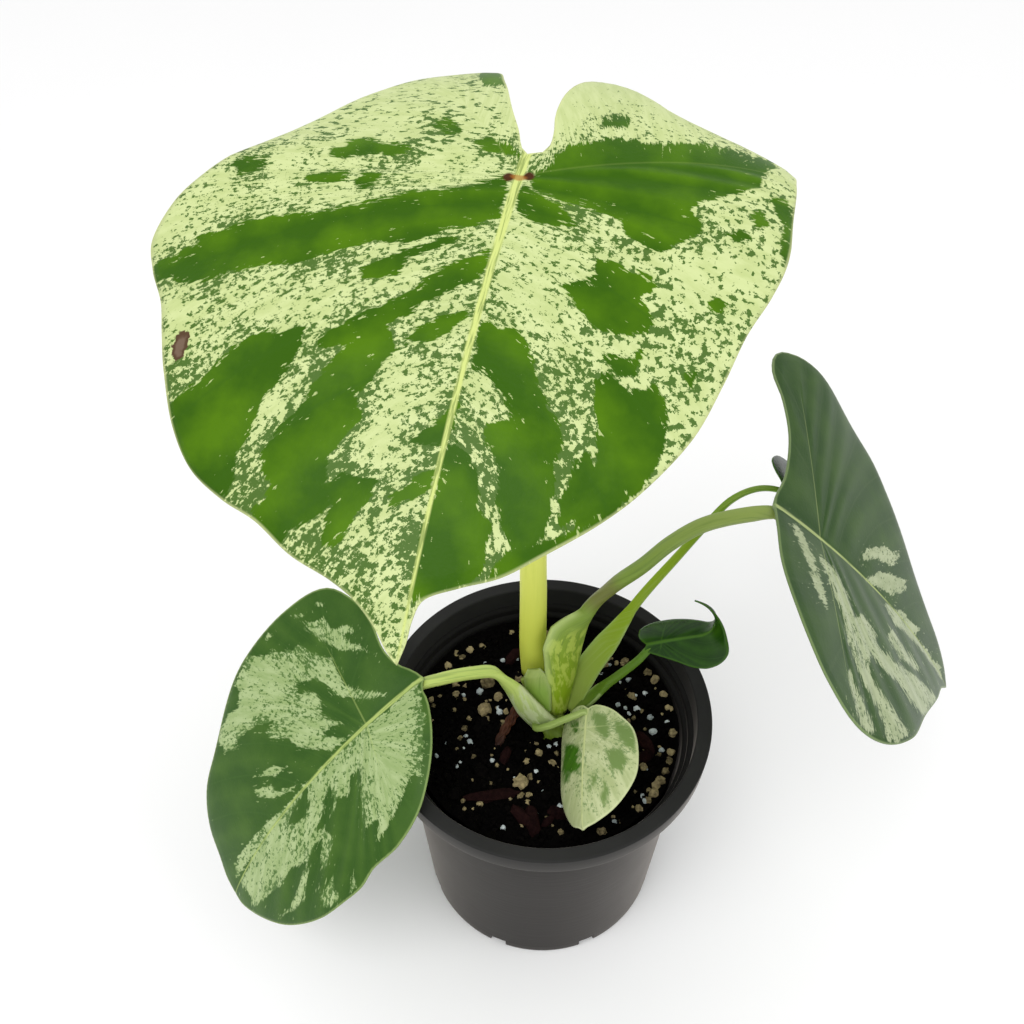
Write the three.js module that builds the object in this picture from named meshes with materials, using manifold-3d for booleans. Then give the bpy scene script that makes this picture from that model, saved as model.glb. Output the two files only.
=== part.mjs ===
// Potted variegated monstera: a young plant with six leaves in a round nursery pot.
// Millimetres, +Z up. The origin is on the pot's axis, at the foot of the pot.
// The viewer the leaves lean towards stands on the -Y side.
import * as THREE from "three";
import { mergeVertices } from "three/addons/utils/BufferGeometryUtils.js";
import Module from "manifold-3d";

const wasm = await Module();
wasm.setup();

// Driving dimensions
const GAP = 0.3;                 // clearance between neighbouring pieces
const SHEATH_GAP = 0.5;          // clearance cut around a sheathed petiole
const SLIVER = 0.03;             // thinnest edge left where one solid is cut by another
const POT_HEIGHT = 96;
const POT_RIM_RADIUS = 54.4;
const POT_MOUTH_RADIUS = 49.6;
const POT_NECK_RADIUS = 47.4;    // outside of the wall, just under the lip
const POT_FOOT_RADIUS = 42;
const POT_WALL = 1.6;
const POT_LIP_HEIGHT = 7.5;
const POT_BASE_RISE = 2.5;       // height of the drain channel under the floor
const POT_CENTRE_PAD_RADIUS = 17;
const DRAIN_COUNT = 8;
const DRAIN_WIDTH = 6;
const SOIL_LEVEL = 85;
const SOIL_SWELL = 1.2;          // height of the unevenness of the mix
const STEM_RADIUS = 5.4;
const BLADE_THICKNESS = 1.0;
const SMALL_BLADE_THICKNESS = 0.9;

const POT_FLOOR_TOP = POT_BASE_RISE + POT_WALL;
const UP = new THREE.Vector3(0, 0, 1);
const plant = new THREE.Group();

// Seeded random numbers, so that the scattered bits always fall in the same places
function seededRandom(seed) {
  let state = seed;
  return () => {
    state = (state * 1664525 + 1013904223) % 4294967296;
    return state / 4294967296;
  };
}

// Solids: three.js geometry to a manifold solid and back
function toSolid(geometry) {
  const bare = geometry.clone();
  bare.deleteAttribute("normal");
  bare.deleteAttribute("uv");
  const merged = mergeVertices(bare, 1e-4);
  return new wasm.Manifold(new wasm.Mesh({
    numProp: 3,
    vertProperties: new Float32Array(merged.attributes.position.array),
    triVerts: new Uint32Array(merged.index.array),
  }));
}

function toGeometry(solid) {
  const mesh = solid.getMesh();
  const geometry = new THREE.BufferGeometry();
  geometry.setAttribute("position", new THREE.BufferAttribute(new Float32Array(mesh.vertProperties), 3));
  geometry.setIndex(new THREE.BufferAttribute(new Uint32Array(mesh.triVerts), 1));
  return geometry;
}

// The largest piece of a cut solid, without the scraps
function mainPiece(solid) {
  const pieces = solid.decompose();
  return pieces.reduce((best, piece) => (piece.volume() > best.volume() ? piece : best));
}

// What is left of a solid after the cuts, without slivers thinner than SLIVER
function cutAway(solid, tools) {
  return mainPiece(tools.reduce((left, tool) => left.subtract(tool), solid)).simplify(SLIVER);
}

function addPiece(name, solid, colour, roughness, metalness = 0) {
  const material = new THREE.MeshStandardMaterial({ color: colour, roughness, metalness });
  const geometry = toGeometry(solid);
  geometry.computeVertexNormals();
  const mesh = new THREE.Mesh(geometry, material);
  mesh.name = name;
  plant.add(mesh);
}

// Leaf blades
// A blade is drawn flat, with u across and v along the midrib from the petiole to the tip, and then bent.
// heading: compass direction of the tip, 0 towards -Y and 90 towards +X. tilt: turn about that direction.
// pitch: fall of the midrib at the petiole. arch and back: change of pitch per mm, in front and behind.
// fold and roll: fall of each half at the midrib, and its growth per mm outwards.
// curl: the strip beyond a line through (u, v) bends down round the given radius.
const radians = THREE.MathUtils.degToRad;

function pitchAt(leaf, v) {
  const tipTurn = leaf.tipCurl * Math.max(0, v - leaf.tipStart);
  return radians(leaf.pitch + (v > 0 ? leaf.arch : leaf.back) * v + tipTurn);
}

function slopeAt(leaf, side, across, v) {
  const lobeTurn = leaf.lobe * Math.max(0, -v) * across / 10;
  const edgeTurn = leaf.edge[side] * Math.max(0, across - leaf.edgeStart);
  return radians(leaf.fold[side] + leaf.roll[side] * across + lobeTurn + edgeTurn);
}

const BEND_STEPS = 24;

function bladePoint(leaf, u, v, lift) {
  let flatU = u;
  let flatV = v;
  let drop = 0;
  for (const curl of leaf.curls) {
    const outU = Math.cos(radians(curl.facing));
    const outV = Math.sin(radians(curl.facing));
    const beyond = (flatU - curl.through[0]) * outU + (flatV - curl.through[1]) * outV;
    if (beyond > 0) {
      const angle = beyond / curl.radius;
      const shift = curl.radius * Math.sin(angle) - beyond;
      flatU += shift * outU;
      flatV += shift * outV;
      drop += curl.radius * (1 - Math.cos(angle));
    }
  }
  const heading = radians(leaf.heading);
  const tilt = radians(leaf.tilt);
  const forward = new THREE.Vector3(Math.sin(heading), -Math.cos(heading), 0);
  const level = new THREE.Vector3(-Math.cos(heading), -Math.sin(heading), 0);
  const side = level.clone().multiplyScalar(Math.cos(tilt)).addScaledVector(UP, Math.sin(tilt));
  const rise = level.clone().multiplyScalar(-Math.sin(tilt)).addScaledVector(UP, Math.cos(tilt));
  const point = new THREE.Vector3(...leaf.base);
  for (let i = 0; i < BEND_STEPS; i++) {
    const pitch = pitchAt(leaf, flatV * (i + 0.5) / BEND_STEPS);
    point.addScaledVector(forward, Math.cos(pitch) * flatV / BEND_STEPS);
    point.addScaledVector(rise, -Math.sin(pitch) * flatV / BEND_STEPS);
  }
  const pitch = pitchAt(leaf, flatV);
  const normal = forward.multiplyScalar(Math.sin(pitch)).addScaledVector(rise, Math.cos(pitch));
  const hand = flatU >= 0 ? 1 : -1;
  const sideIndex = flatU >= 0 ? 0 : 1;
  const across = Math.abs(flatU);
  for (let i = 0; i < BEND_STEPS; i++) {
    const slope = slopeAt(leaf, sideIndex, across * (i + 0.5) / BEND_STEPS, flatV);
    point.addScaledVector(side, hand * Math.cos(slope) * across / BEND_STEPS);
    point.addScaledVector(normal, -Math.sin(slope) * across / BEND_STEPS);
  }
  const wave = leaf.wave * (across / leaf.waveWidth) ** 2 * Math.sin(v / leaf.waveLength + hand);
  const slope = slopeAt(leaf, sideIndex, across, flatV);
  point.addScaledVector(normal, Math.cos(slope) * (lift + wave - drop));
  point.addScaledVector(side, hand * Math.sin(slope) * (lift + wave - drop));
  return point;
}

// A smooth line through the outline's points
function marginPoint(outline, length) {
  const curve = new THREE.CatmullRomCurve3(outline.map(([u, v]) => new THREE.Vector3(u, v, 0)));
  curve.curveType = "centripetal";
  return curve.getPointAt(length);
}

// The flat blade as a grid of lateral veins. Most veins leave the midrib and bend towards the tip.
// Those behind FIRST_VEIN are straight and leave a rib, which runs from the midrib at v = hub out to lobeRib.
// lobeShare is the share of the margin at the lobe's end.
const FIRST_VEIN = 0.48;         // share of the margin behind the first vein that starts on the midrib
const VEIN_START_POWER = 1.9;
const VEIN_BEND_REACH = 0.05;    // how far a vein bends, as shares of its run outwards and forwards
const VEIN_BEND_RISE = 0.28;
const BEND_SHARE = 0.25;         // share of the midrib over which the veins come to bend fully

// The veins are numbered along the margin, from the petiole to the tip. As many veins leave the lobe's rib
// on its way out as on its way back, so that the two sides of the rib share their points.
function alongAt(leaf, side, vein) {
  const lobeShare = leaf.lobeShare[side];
  const out = leaf.lobeVeins;
  if (vein <= out) return lobeShare * vein / out;
  if (vein <= 2 * out) return lobeShare + (FIRST_VEIN - lobeShare) * (vein - out) / out;
  return FIRST_VEIN + (1 - FIRST_VEIN) * (vein - 2 * out) / (leaf.veins - 2 * out);
}

// Where a vein starts, and how much it bends
function veinRoot(leaf, side, along) {
  if (along >= FIRST_VEIN) {
    const outline = side === 0 ? leaf.left : leaf.right;
    const bladeLength = outline[outline.length - 1][1];
    const share = (along - FIRST_VEIN) / (1 - FIRST_VEIN);
    const v = leaf.hub + (bladeLength - leaf.hub) * share ** VEIN_START_POWER;
    return { u: 0, v, bend: Math.min(1, share / BEND_SHARE) };
  }
  const lobeShare = leaf.lobeShare[side];
  const out = along < lobeShare ? along / lobeShare : (FIRST_VEIN - along) / (FIRST_VEIN - lobeShare);
  const [ribU, ribV] = leaf.lobeRib[side];
  return { u: ribU * out, v: leaf.hub + (ribV - leaf.hub) * out, bend: 0 };
}

function veinPoint(leaf, side, along, across) {
  const outline = side === 0 ? leaf.left : leaf.right;
  const margin = marginPoint(outline, along);
  const root = veinRoot(leaf, side, along);
  const bendU = root.u + (0.5 + VEIN_BEND_REACH * root.bend) * (margin.x - root.u);
  const bendV = root.v + (0.5 - VEIN_BEND_RISE * root.bend) * (margin.y - root.v);
  const near = 1 - across;
  const u = near * near * root.u + 2 * across * near * bendU + across * across * margin.x;
  const v = near * near * root.v + 2 * across * near * bendV + across * across * margin.y;
  return [side === 0 ? u : -u, v];
}

// Height of a flat triangle over its longest edge, negative where the triangle is folded over
function flatHeight([a, b, c]) {
  const edge = ([p, q], [r, s]) => Math.hypot(r - p, s - q);
  const twiceArea = (b[0] - a[0]) * (c[1] - a[1]) - (b[1] - a[1]) * (c[0] - a[0]);
  return twiceArea / Math.max(edge(a, b), edge(b, c), edge(c, a));
}

function bladeGeometry(leaf, thickness) {
  const flat = [];
  const places = new Map();
  const place = (side, i, j) => {
    const [u, v] = veinPoint(leaf, side, alongAt(leaf, side, i), j / leaf.strips);
    const key = `${Math.round(u * 100)},${Math.round(v * 100)}`;
    if (!places.has(key)) {
      places.set(key, flat.length);
      flat.push([u, v]);
    }
    return places.get(key);
  };
  // Of a quad's two ways of being split, the one whose triangles are less thin
  const triangles = [];
  const isWhole = ([a, b, c]) => a !== b && b !== c && a !== c;
  const thinnest = (split) => Math.min(...split.map((corners) => flatHeight(corners.map((k) => flat[k]))));
  const addQuad = ([a, b, c, d]) => {
    const splits = [[[a, b, c], [a, c, d]], [[b, c, d], [b, d, a]]].map((split) => split.filter(isWhole));
    triangles.push(...(thinnest(splits[0]) >= thinnest(splits[1]) ? splits[0] : splits[1]));
  };
  for (const side of [0, 1]) {
    for (let i = 0; i < leaf.veins; i++) {
      for (let j = 0; j < leaf.strips; j++) {
        const near = [place(side, i, j), place(side, i + 1, j)];
        const far = [place(side, i + 1, j + 1), place(side, i, j + 1)];
        const corners = [...near, ...far];
        if (side === 0) corners.reverse();
        addQuad(corners);
      }
    }
  }
  const rim = [];
  for (let i = 0; i <= leaf.veins; i++) rim.push(place(0, i, leaf.strips));
  for (let i = leaf.veins - 1; i > 0; i--) rim.push(place(1, i, leaf.strips));
  const count = flat.length;
  const positions = [];
  for (const lift of [thickness / 2, -thickness / 2]) {
    for (const [u, v] of flat) positions.push(...bladePoint(leaf, u, v, lift).toArray());
  }
  const index = [];
  for (const [a, b, c] of triangles) {
    index.push(a, b, c, a + count, c + count, b + count);
  }
  rim.forEach((a, k) => {
    const b = rim[(k + 1) % rim.length];
    index.push(a, a + count, b, b, a + count, b + count);
  });
  const geometry = new THREE.BufferGeometry();
  geometry.setAttribute("position", new THREE.Float32BufferAttribute(positions, 3));
  geometry.setIndex(index);
  return geometry;
}

function leafForm(values) {
  const plain = {
    tilt: 0, arch: 0.3, back: 0.8, fold: [0, 0], roll: [0.2, 0.2], lobe: 0.07, edge: [0, 0], edgeStart: 50,
    tipCurl: 0, tipStart: 0, curls: [], wave: 0, waveWidth: 60, waveLength: 7, veins: 26, strips: 4,
  };
  return { ...plain, ...values };
}

// The large leaf: its lobes rise behind the petiole and its far left edge curls under
const largeLeaf = leafForm({
  base: [-9.6, -0.2, 289.8], heading: -14, tilt: 2, pitch: 15, arch: 0.3, back: 0.7,
  fold: [2, 0], roll: [0.17, 0.22], lobe: 0.05, edge: [0, 0.8], wave: 0.8,
  curls: [{ through: [41.3, -32.9], facing: -35.5, radius: 8 }],
  left: [[0, -7.4], [1.4, -8.6], [3.4, -14], [7, -22.5], [12.4, -38], [18.4, -52], [30, -51.5],
    [43, -41], [52, -23], [60.6, -7.6], [69.5, 5], [75, 13], [78, 23], [74.5, 31], [68, 40],
    [65, 47], [62.2, 55], [57.4, 66.2], [50.5, 74.5], [41.8, 79.3], [33.9, 82], [25, 87], [16, 90],
    [10.4, 92.8], [5.5, 97], [2.4, 100.8], [0, 102.8]],
  right: [[0, -7.4], [3.6, -8.8], [4, -14], [2.6, -22.3], [2.8, -37.3], [6, -49], [12.5, -53],
    [20, -47], [27, -39.6], [38, -36.5], [49, -37.6], [56.2, -38], [56.8, -26], [57.2, -12], [57.3, 4],
    [54.9, 15], [51.6, 25], [49.2, 36.2], [45.5, 48.8], [38.2, 61.4], [31.8, 69], [22.2, 77.6],
    [15.8, 82.8], [8.4, 86.4], [2.4, 90], [1.2, 94], [0.9, 98.5], [0, 102.8]],
  hub: 0, lobeRib: [[21.2, -28], [53.7, -25.7]], lobeShare: [0.262, 0.432],
  lobeVeins: 11, veins: 44, strips: 5,
});

// The left leaf hangs out over the rim, with a blunt base
const leftLeaf = leafForm({
  base: [-39.9, -2.5, 114.8], heading: -56, tilt: 5, pitch: 22, arch: 0.43, back: 0.8,
  fold: [-5, -1], roll: [0.1, 0.23], wave: 0.7, waveWidth: 45,
  left: [[0, -1.4], [4, 0], [9, 2.8], [16, 3.8], [26, 1.9], [36, 2.2], [47, 7.5], [52, 25],
    [49.2, 43.5], [43.6, 60.6], [36, 76.5], [30.5, 88.8], [22, 98.5], [12.5, 103.2], [6.5, 106.4],
    [3, 107.2], [0, 107.6]],
  right: [[0, -1.4], [3, 1], [7, 1.6], [15.8, 5.8], [24.5, 12.7], [32.6, 23.2], [36, 35.6],
    [35.6, 47.2], [36.9, 54], [35.9, 62.6], [33, 75], [25.4, 89], [15, 99.5], [5, 106.6],
    [2, 107.4], [0, 107.6]],
  hub: 22, lobeRib: [[31, 18], [14.2, 25.9]], lobeShare: [0.38, 0.381], lobeVeins: 7, veins: 30, strips: 4,
});

// The right leaf hangs steeply, with one lobe reaching back and up
const rightLeaf = leafForm({
  base: [64.2, 11.6, 178.8], heading: 84, pitch: 39, arch: 0.2, back: 0.8,
  fold: [-6, -7], roll: [0.05, 0.06], wave: 0.7, waveWidth: 55,
  left: [[0, -1.6], [3, -2], [9, -2.2], [22, -2.8], [33, -1.1], [46.5, 2.6], [57, 7.4], [63, 14.2],
    [64.4, 22], [62.4, 33.3], [54.7, 45.3], [37, 62.2], [20, 80], [9, 91], [3.4, 99], [0, 104]],
  right: [[0, -1.6], [3, -1.6], [13.4, 2], [30, 3.4], [42.5, 1], [54, -2.8], [64, -1], [68.4, 6.5],
    [68.6, 14.8], [65.6, 25], [55.2, 46.2], [44.6, 56.2], [34.4, 66.6], [24.2, 77.2], [17.6, 86.4],
    [12.2, 96], [6.5, 101.8], [0, 104]],
  hub: 18, lobeRib: [[50.3, 17.5], [50, 8]], lobeShare: [0.398, 0.375], lobeVeins: 7, veins: 30, strips: 4,
});

// The hidden leaf lies under the right one
const backLeaf = leafForm({
  base: [73.6, 34.6, 163], heading: 90, pitch: 46, arch: 0.3, fold: [4, 2], roll: [0.3, 0.2], wave: 0.3,
  waveWidth: 20,
  left: [[0, -2], [3.5, -5], [9, -5.5], [15, 0], [17, 9], [15, 20], [10, 31], [4.5, 39], [0, 45]],
  right: [[0, -2], [3.5, -5], [9, -5.5], [15, 0], [17, 9], [15, 20], [10, 31], [4.5, 39], [0, 45]],
  hub: 0, lobeRib: [[8.5, 0.8], [8.5, 0.8]], lobeShare: [0.352, 0.352], lobeVeins: 4, veins: 18, strips: 3,
});

// The curled leaf rolls its sides down and its tip up
const curledLeaf = leafForm({
  base: [32, 3, 126.4], heading: 74, tilt: 3, pitch: -32, arch: 0.1, back: 1, lobe: 0,
  fold: [40, -13], roll: [2, 2.6], tipStart: 16.6, tipCurl: -7.2,
  left: [[0, -1.5], [1.5, -2.2], [2.6, -1], [4, 2], [6.5, 7.5], [9.2, 13], [10, 17.5], [8.8, 21.5],
    [5, 25], [2.4, 29], [1.2, 32], [0, 37]],
  right: [[0, -1.5], [3, -4.5], [6.5, -5], [8.5, -2], [9, 4], [8, 10], [6, 16], [4, 20.5], [2.4, 24.5],
    [1.3, 30], [0, 37]],
  hub: 4, lobeRib: [[1.9, 3.4], [6.1, 4.4]], lobeShare: [0.134, 0.372], lobeVeins: 4, veins: 20, strips: 4,
});

// The small front leaf hangs low over the mix, turned onto its left side
const frontLeaf = leafForm({
  base: [13.2, -6.9, 103.9], heading: -16, tilt: -41, pitch: 11.5, arch: 0.33, back: 1.5, lobe: 0,
  fold: [11, 5], roll: [1.2, 0.86], wave: 0.3, waveWidth: 16, waveLength: 4,
  left: [[0, -1], [3, -3], [7.5, -3.8], [12, -3], [14.8, 1], [15.4, 7], [15, 16.2], [12.9, 24.6],
    [9.7, 31.4], [5.2, 36], [1.6, 37.2], [0, 38]],
  right: [[0, -1], [2.5, -1.8], [8.5, 0.2], [13.3, 4], [16.4, 7.2], [18.2, 11.6], [18.7, 17.2],
    [18, 22.5], [14.8, 28.4], [10.5, 32.8], [4.3, 36.2], [1.4, 37.2], [0, 38]],
  hub: 6, lobeRib: [[9.1, 3.1], [8.9, 6.3]], lobeShare: [0.314, 0.327], lobeVeins: 5, veins: 20, strips: 4,
});

// Petioles, stem and root
// A stalk is a skin over cross-sections. Each section is as wide as 2a and as deep as b below its edges.
// channel 1 rounds its upper side out, and a negative channel hollows it, as a clasping sheath is.
// shift moves a section sideways from the route, for a sheath with one broad wing.
const SECTION_STEPS = 7;
const EDGE = 0.7;                // thickness of a sheath's edge
const TURN_START = 0.3;          // share of the length where a stalk starts to turn from facing to facingTop
const TURN_END = 0.55;

function sectionPoints(width, depth, channel, grow) {
  const points = [];
  const a = width + grow;
  for (let k = 0; k <= SECTION_STEPS; k++) {
    const angle = Math.PI * k / SECTION_STEPS;
    points.push([a * Math.cos(angle), -EDGE / 2 - grow - depth * Math.sin(angle)]);
  }
  for (let k = SECTION_STEPS; k >= 0; k--) {
    const angle = Math.PI * k / SECTION_STEPS;
    points.push([a * Math.cos(angle), EDGE / 2 + grow + channel * depth * Math.sin(angle)]);
  }
  return points;
}

// A value of the sections table at a share of the route's length
function sectionAt(sections, share) {
  const next = Math.max(1, sections.findIndex((section) => section.at >= share));
  const low = sections[next - 1];
  const high = sections[next];
  const blend = (share - low.at) / (high.at - low.at);
  const mix = (key) => (low[key] ?? 0) * (1 - blend) + (high[key] ?? 0) * blend;
  return { width: mix("width"), depth: mix("depth"), channel: mix("channel"), shift: mix("shift") };
}

function stalkGeometry(stalk, grow) {
  const curve = new THREE.CatmullRomCurve3(stalk.route.map((p) => new THREE.Vector3(...p)));
  curve.curveType = "centripetal";
  const facingFoot = new THREE.Vector3(...stalk.facing);
  const facingTop = new THREE.Vector3(...(stalk.facingTop ?? stalk.facing));
  const shares = stalk.shares ?? Array.from({ length: stalk.steps + 1 }, (_, k) => k / stalk.steps);
  const positions = [];
  for (const share of shares) {
    const tangent = curve.getTangentAt(share);
    const turn = THREE.MathUtils.smoothstep(share, TURN_START, TURN_END);
    const facing = facingFoot.clone().lerp(facingTop, turn);
    const across = new THREE.Vector3().crossVectors(tangent, facing).normalize();
    const inward = new THREE.Vector3().crossVectors(across, tangent).normalize();
    const { width, depth, channel, shift } = sectionAt(stalk.sections, share);
    const centre = curve.getPointAt(share).addScaledVector(across, shift);
    if (share === 0) centre.addScaledVector(tangent, -grow);
    if (share === 1) centre.addScaledVector(tangent, grow);
    for (const [x, y] of sectionPoints(width, depth, channel, grow)) {
      positions.push(...centre.clone().addScaledVector(across, x).addScaledVector(inward, y).toArray());
    }
  }
  const ring = 2 * (SECTION_STEPS + 1);
  const index = [];
  for (let i = 0; i + 1 < shares.length; i++) {
    for (let k = 0; k < ring; k++) {
      const a = i * ring + k;
      const b = i * ring + (k + 1) % ring;
      index.push(a, b, a + ring, b, b + ring, a + ring);
    }
  }
  const last = (shares.length - 1) * ring;
  for (let k = 0; k < SECTION_STEPS; k++) {
    const opposite = ring - 1 - k;
    index.push(k, opposite, k + 1, opposite, opposite - 1, k + 1);
    index.push(last + k, last + k + 1, last + opposite, last + opposite, last + k + 1, last + opposite - 1);
  }
  const geometry = new THREE.BufferGeometry();
  geometry.setAttribute("position", new THREE.Float32BufferAttribute(positions, 3));
  geometry.setIndex(index);
  return geometry;
}

const stemStalk = {
  route: [[3.5, -6, 64], [1.8, -1.5, 84], [-0.6, 5, 93], [-3, 10.6, 99.5]],
  facing: [0, 1, 0.2], steps: 8,
  sections: [
    { at: 0, width: 4.6, depth: 4.3, channel: 1 },
    { at: 0.6, width: STEM_RADIUS, depth: STEM_RADIUS - 0.3, channel: 1 },
    { at: 1, width: 4.8, depth: 4.5, channel: 1 },
  ],
};

const largePetiole = {
  route: [[-3.4, 11.6, 100.6], [-4.1, 13.8, 110], [-4.4, 14.4, 140], [-5.8, 12, 200], [-8.2, 6.5, 262],
    [-9.4, 1.6, 284], [-9.7, -1.4, 292]],
  facing: [0, 1, 0.1], steps: 16,
  sections: [
    { at: 0, width: 4.5, depth: 4.2, channel: 0.9 },
    { at: 0.25, width: 4.1, depth: 3.8, channel: 0.8 },
    { at: 0.9, width: 3.1, depth: 2.9, channel: 0.75 },
    { at: 1, width: 3.3, depth: 3.0, channel: 0.75 },
  ],
};

const leftPetiole = {
  route: [[0, -4.2, 92.4], [-5.2, -3, 99.6], [-11, 0, 108], [-16, 1.6, 113.6], [-24, 0.8, 114.3],
    [-33.7, -1.3, 114], [-39.6, -2.4, 112.6], [-44, -5.2, 110]],
  facing: [0.4, 0.9, -0.2], facingTop: [0.4, 0.3, 1], steps: 16,
  sections: [
    { at: 0, width: 5.0, depth: 2.6, channel: -0.45 },
    { at: 0.16, width: 4.9, depth: 2.6, channel: -0.4 },
    { at: 0.34, width: 3.1, depth: 2.1, channel: 0 },
    { at: 0.5, width: 2.3, depth: 2.0, channel: 0.3 },
    { at: 0.85, width: 2.1, depth: 1.9, channel: 0.3 },
    { at: 1, width: 1.4, depth: 1.2, channel: 0.3 },
  ],
};

const rightPetiole = {
  route: [[3.6, 1.8, 92], [6, 6.4, 103], [8.6, 10.4, 113.5], [11.4, 13.8, 125], [14.6, 15.2, 132.3],
    [20, 15.6, 139.6], [28.1, 15.6, 148.6], [36, 16.1, 158.7], [44.9, 15.5, 167.6], [57, 13.3, 174.4],
    [63.4, 11.8, 176.6], [68, 11.4, 173.4]],
  facing: [-0.45, 0.9, 0], facingTop: [-0.8, -0.2, 0.6],
  shares: [0, 0.06, 0.12, 0.18, 0.24, 0.29, 0.325, 0.34, 0.39, 0.45, 0.52, 0.59, 0.66, 0.73, 0.8, 0.86,
    0.91, 0.955, 1],
  sections: [
    { at: 0, width: 4.2, depth: 3.0, channel: -0.4, shift: 0.4 },
    { at: 0.12, width: 5.8, depth: 3.6, channel: -0.5, shift: 2.2 },
    { at: 0.22, width: 7.4, depth: 3.8, channel: -0.55, shift: 4.8 },
    { at: 0.29, width: 7.0, depth: 3.6, channel: -0.5, shift: 4.6 },
    { at: 0.325, width: 4.8, depth: 3.0, channel: -0.3, shift: 2.2 },
    { at: 0.34, width: 2.7, depth: 2.4, channel: 0.5 },
    { at: 0.6, width: 2.3, depth: 2.2, channel: 0.6 },
    { at: 0.9, width: 2.2, depth: 2.0, channel: 0.5 },
    { at: 1, width: 1.5, depth: 1.2, channel: 0.4 },
  ],
};

const backPetiole = {
  route: [[7.2, 0.6, 93], [12.6, 6.4, 106.2], [21.8, 14, 117], [30, 20.6, 127], [40.9, 26.5, 140.1],
    [48.8, 31, 149], [56.9, 34.6, 158.1], [64, 35.2, 162.2], [70, 34.8, 162.4], [75, 34.6, 159.4]],
  facing: [-0.4, -0.4, 0.75], steps: 16,
  sections: [
    { at: 0, width: 3.4, depth: 2.4, channel: -0.4 },
    { at: 0.13, width: 4.4, depth: 2.5, channel: -0.45 },
    { at: 0.25, width: 3.9, depth: 2.2, channel: -0.4 },
    { at: 0.38, width: 1.6, depth: 1.3, channel: 0.2 },
    { at: 0.9, width: 0.9, depth: 0.65, channel: 0.8 },
    { at: 1, width: 0.8, depth: 0.5, channel: 0.8 },
  ],
};

const curledPetiole = {
  route: [[7.8, -1, 92.6], [12, -1, 99.5], [17.4, -0.4, 107.4], [22.6, 0.2, 113.6],
    [28.5, 1.2, 120.6], [31.4, 2.4, 124.4], [33.4, 2.8, 126.4]],
  facing: [-0.6, 0.1, 0.8], steps: 10,
  sections: [
    { at: 0, width: 2.9, depth: 2.0, channel: -0.35 },
    { at: 0.34, width: 2.6, depth: 1.7, channel: -0.3 },
    { at: 0.5, width: 1.5, depth: 1.3, channel: 0.5 },
    { at: 1, width: 1.1, depth: 0.9, channel: 0.5 },
  ],
};

const frontPetiole = {
  route: [[-2.5, -4.5, 94.6], [-3, -8, 96.2], [0.2, -9, 98.6], [5, -8.4, 101], [9.5, -7.4, 102.6],
    [12.4, -6.9, 103.4], [14, -9, 102.8]],
  facing: [0.1, 0.3, 1], steps: 12,
  sections: [
    { at: 0, width: 1.5, depth: 1.0, channel: 0.4 },
    { at: 1, width: 0.9, depth: 0.7, channel: 0.5 },
  ],
};

const stubStalk = {
  route: [[-1.2, -1.6, 96.4], [-2.4, 1.8, 102.6], [-4, 5.4, 109.8]],
  facing: [0.2, 0.9, -0.3], steps: 4,
  sections: [
    { at: 0, width: 3.2, depth: 2.0, channel: -0.4 },
    { at: 0.5, width: 4.4, depth: 2.2, channel: -0.45 },
    { at: 0.85, width: 3.6, depth: 1.8, channel: -0.4 },
    { at: 1, width: 2.0, depth: 1.0, channel: -0.2 },
  ],
};

const rootStalk = {
  route: [[-2, 3.4, 93.4], [-7.8, 3, 92.4], [-11.4, -0.6, 89], [-15, -6.4, 86.2], [-17, -9.6, 81]],
  facing: [0.2, 1, 0.2], steps: 8,
  sections: [
    { at: 0, width: 1.5, depth: 1.2, channel: 1 },
    { at: 1, width: 1.0, depth: 0.7, channel: 1 },
  ],
};

// Pot: one turned wall with a rolled lip, on a foot ring cut by drain slots
const POT_SIDES = 48;
const POT_LIP_ROUND = 1.6;       // size of the lip's rounded edges
const POT_FOOT_RING = 6;         // width of the ring that the pot stands on
const DRAIN_LENGTH = 12;
const DRAIN_TOP = 4.6;

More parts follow.
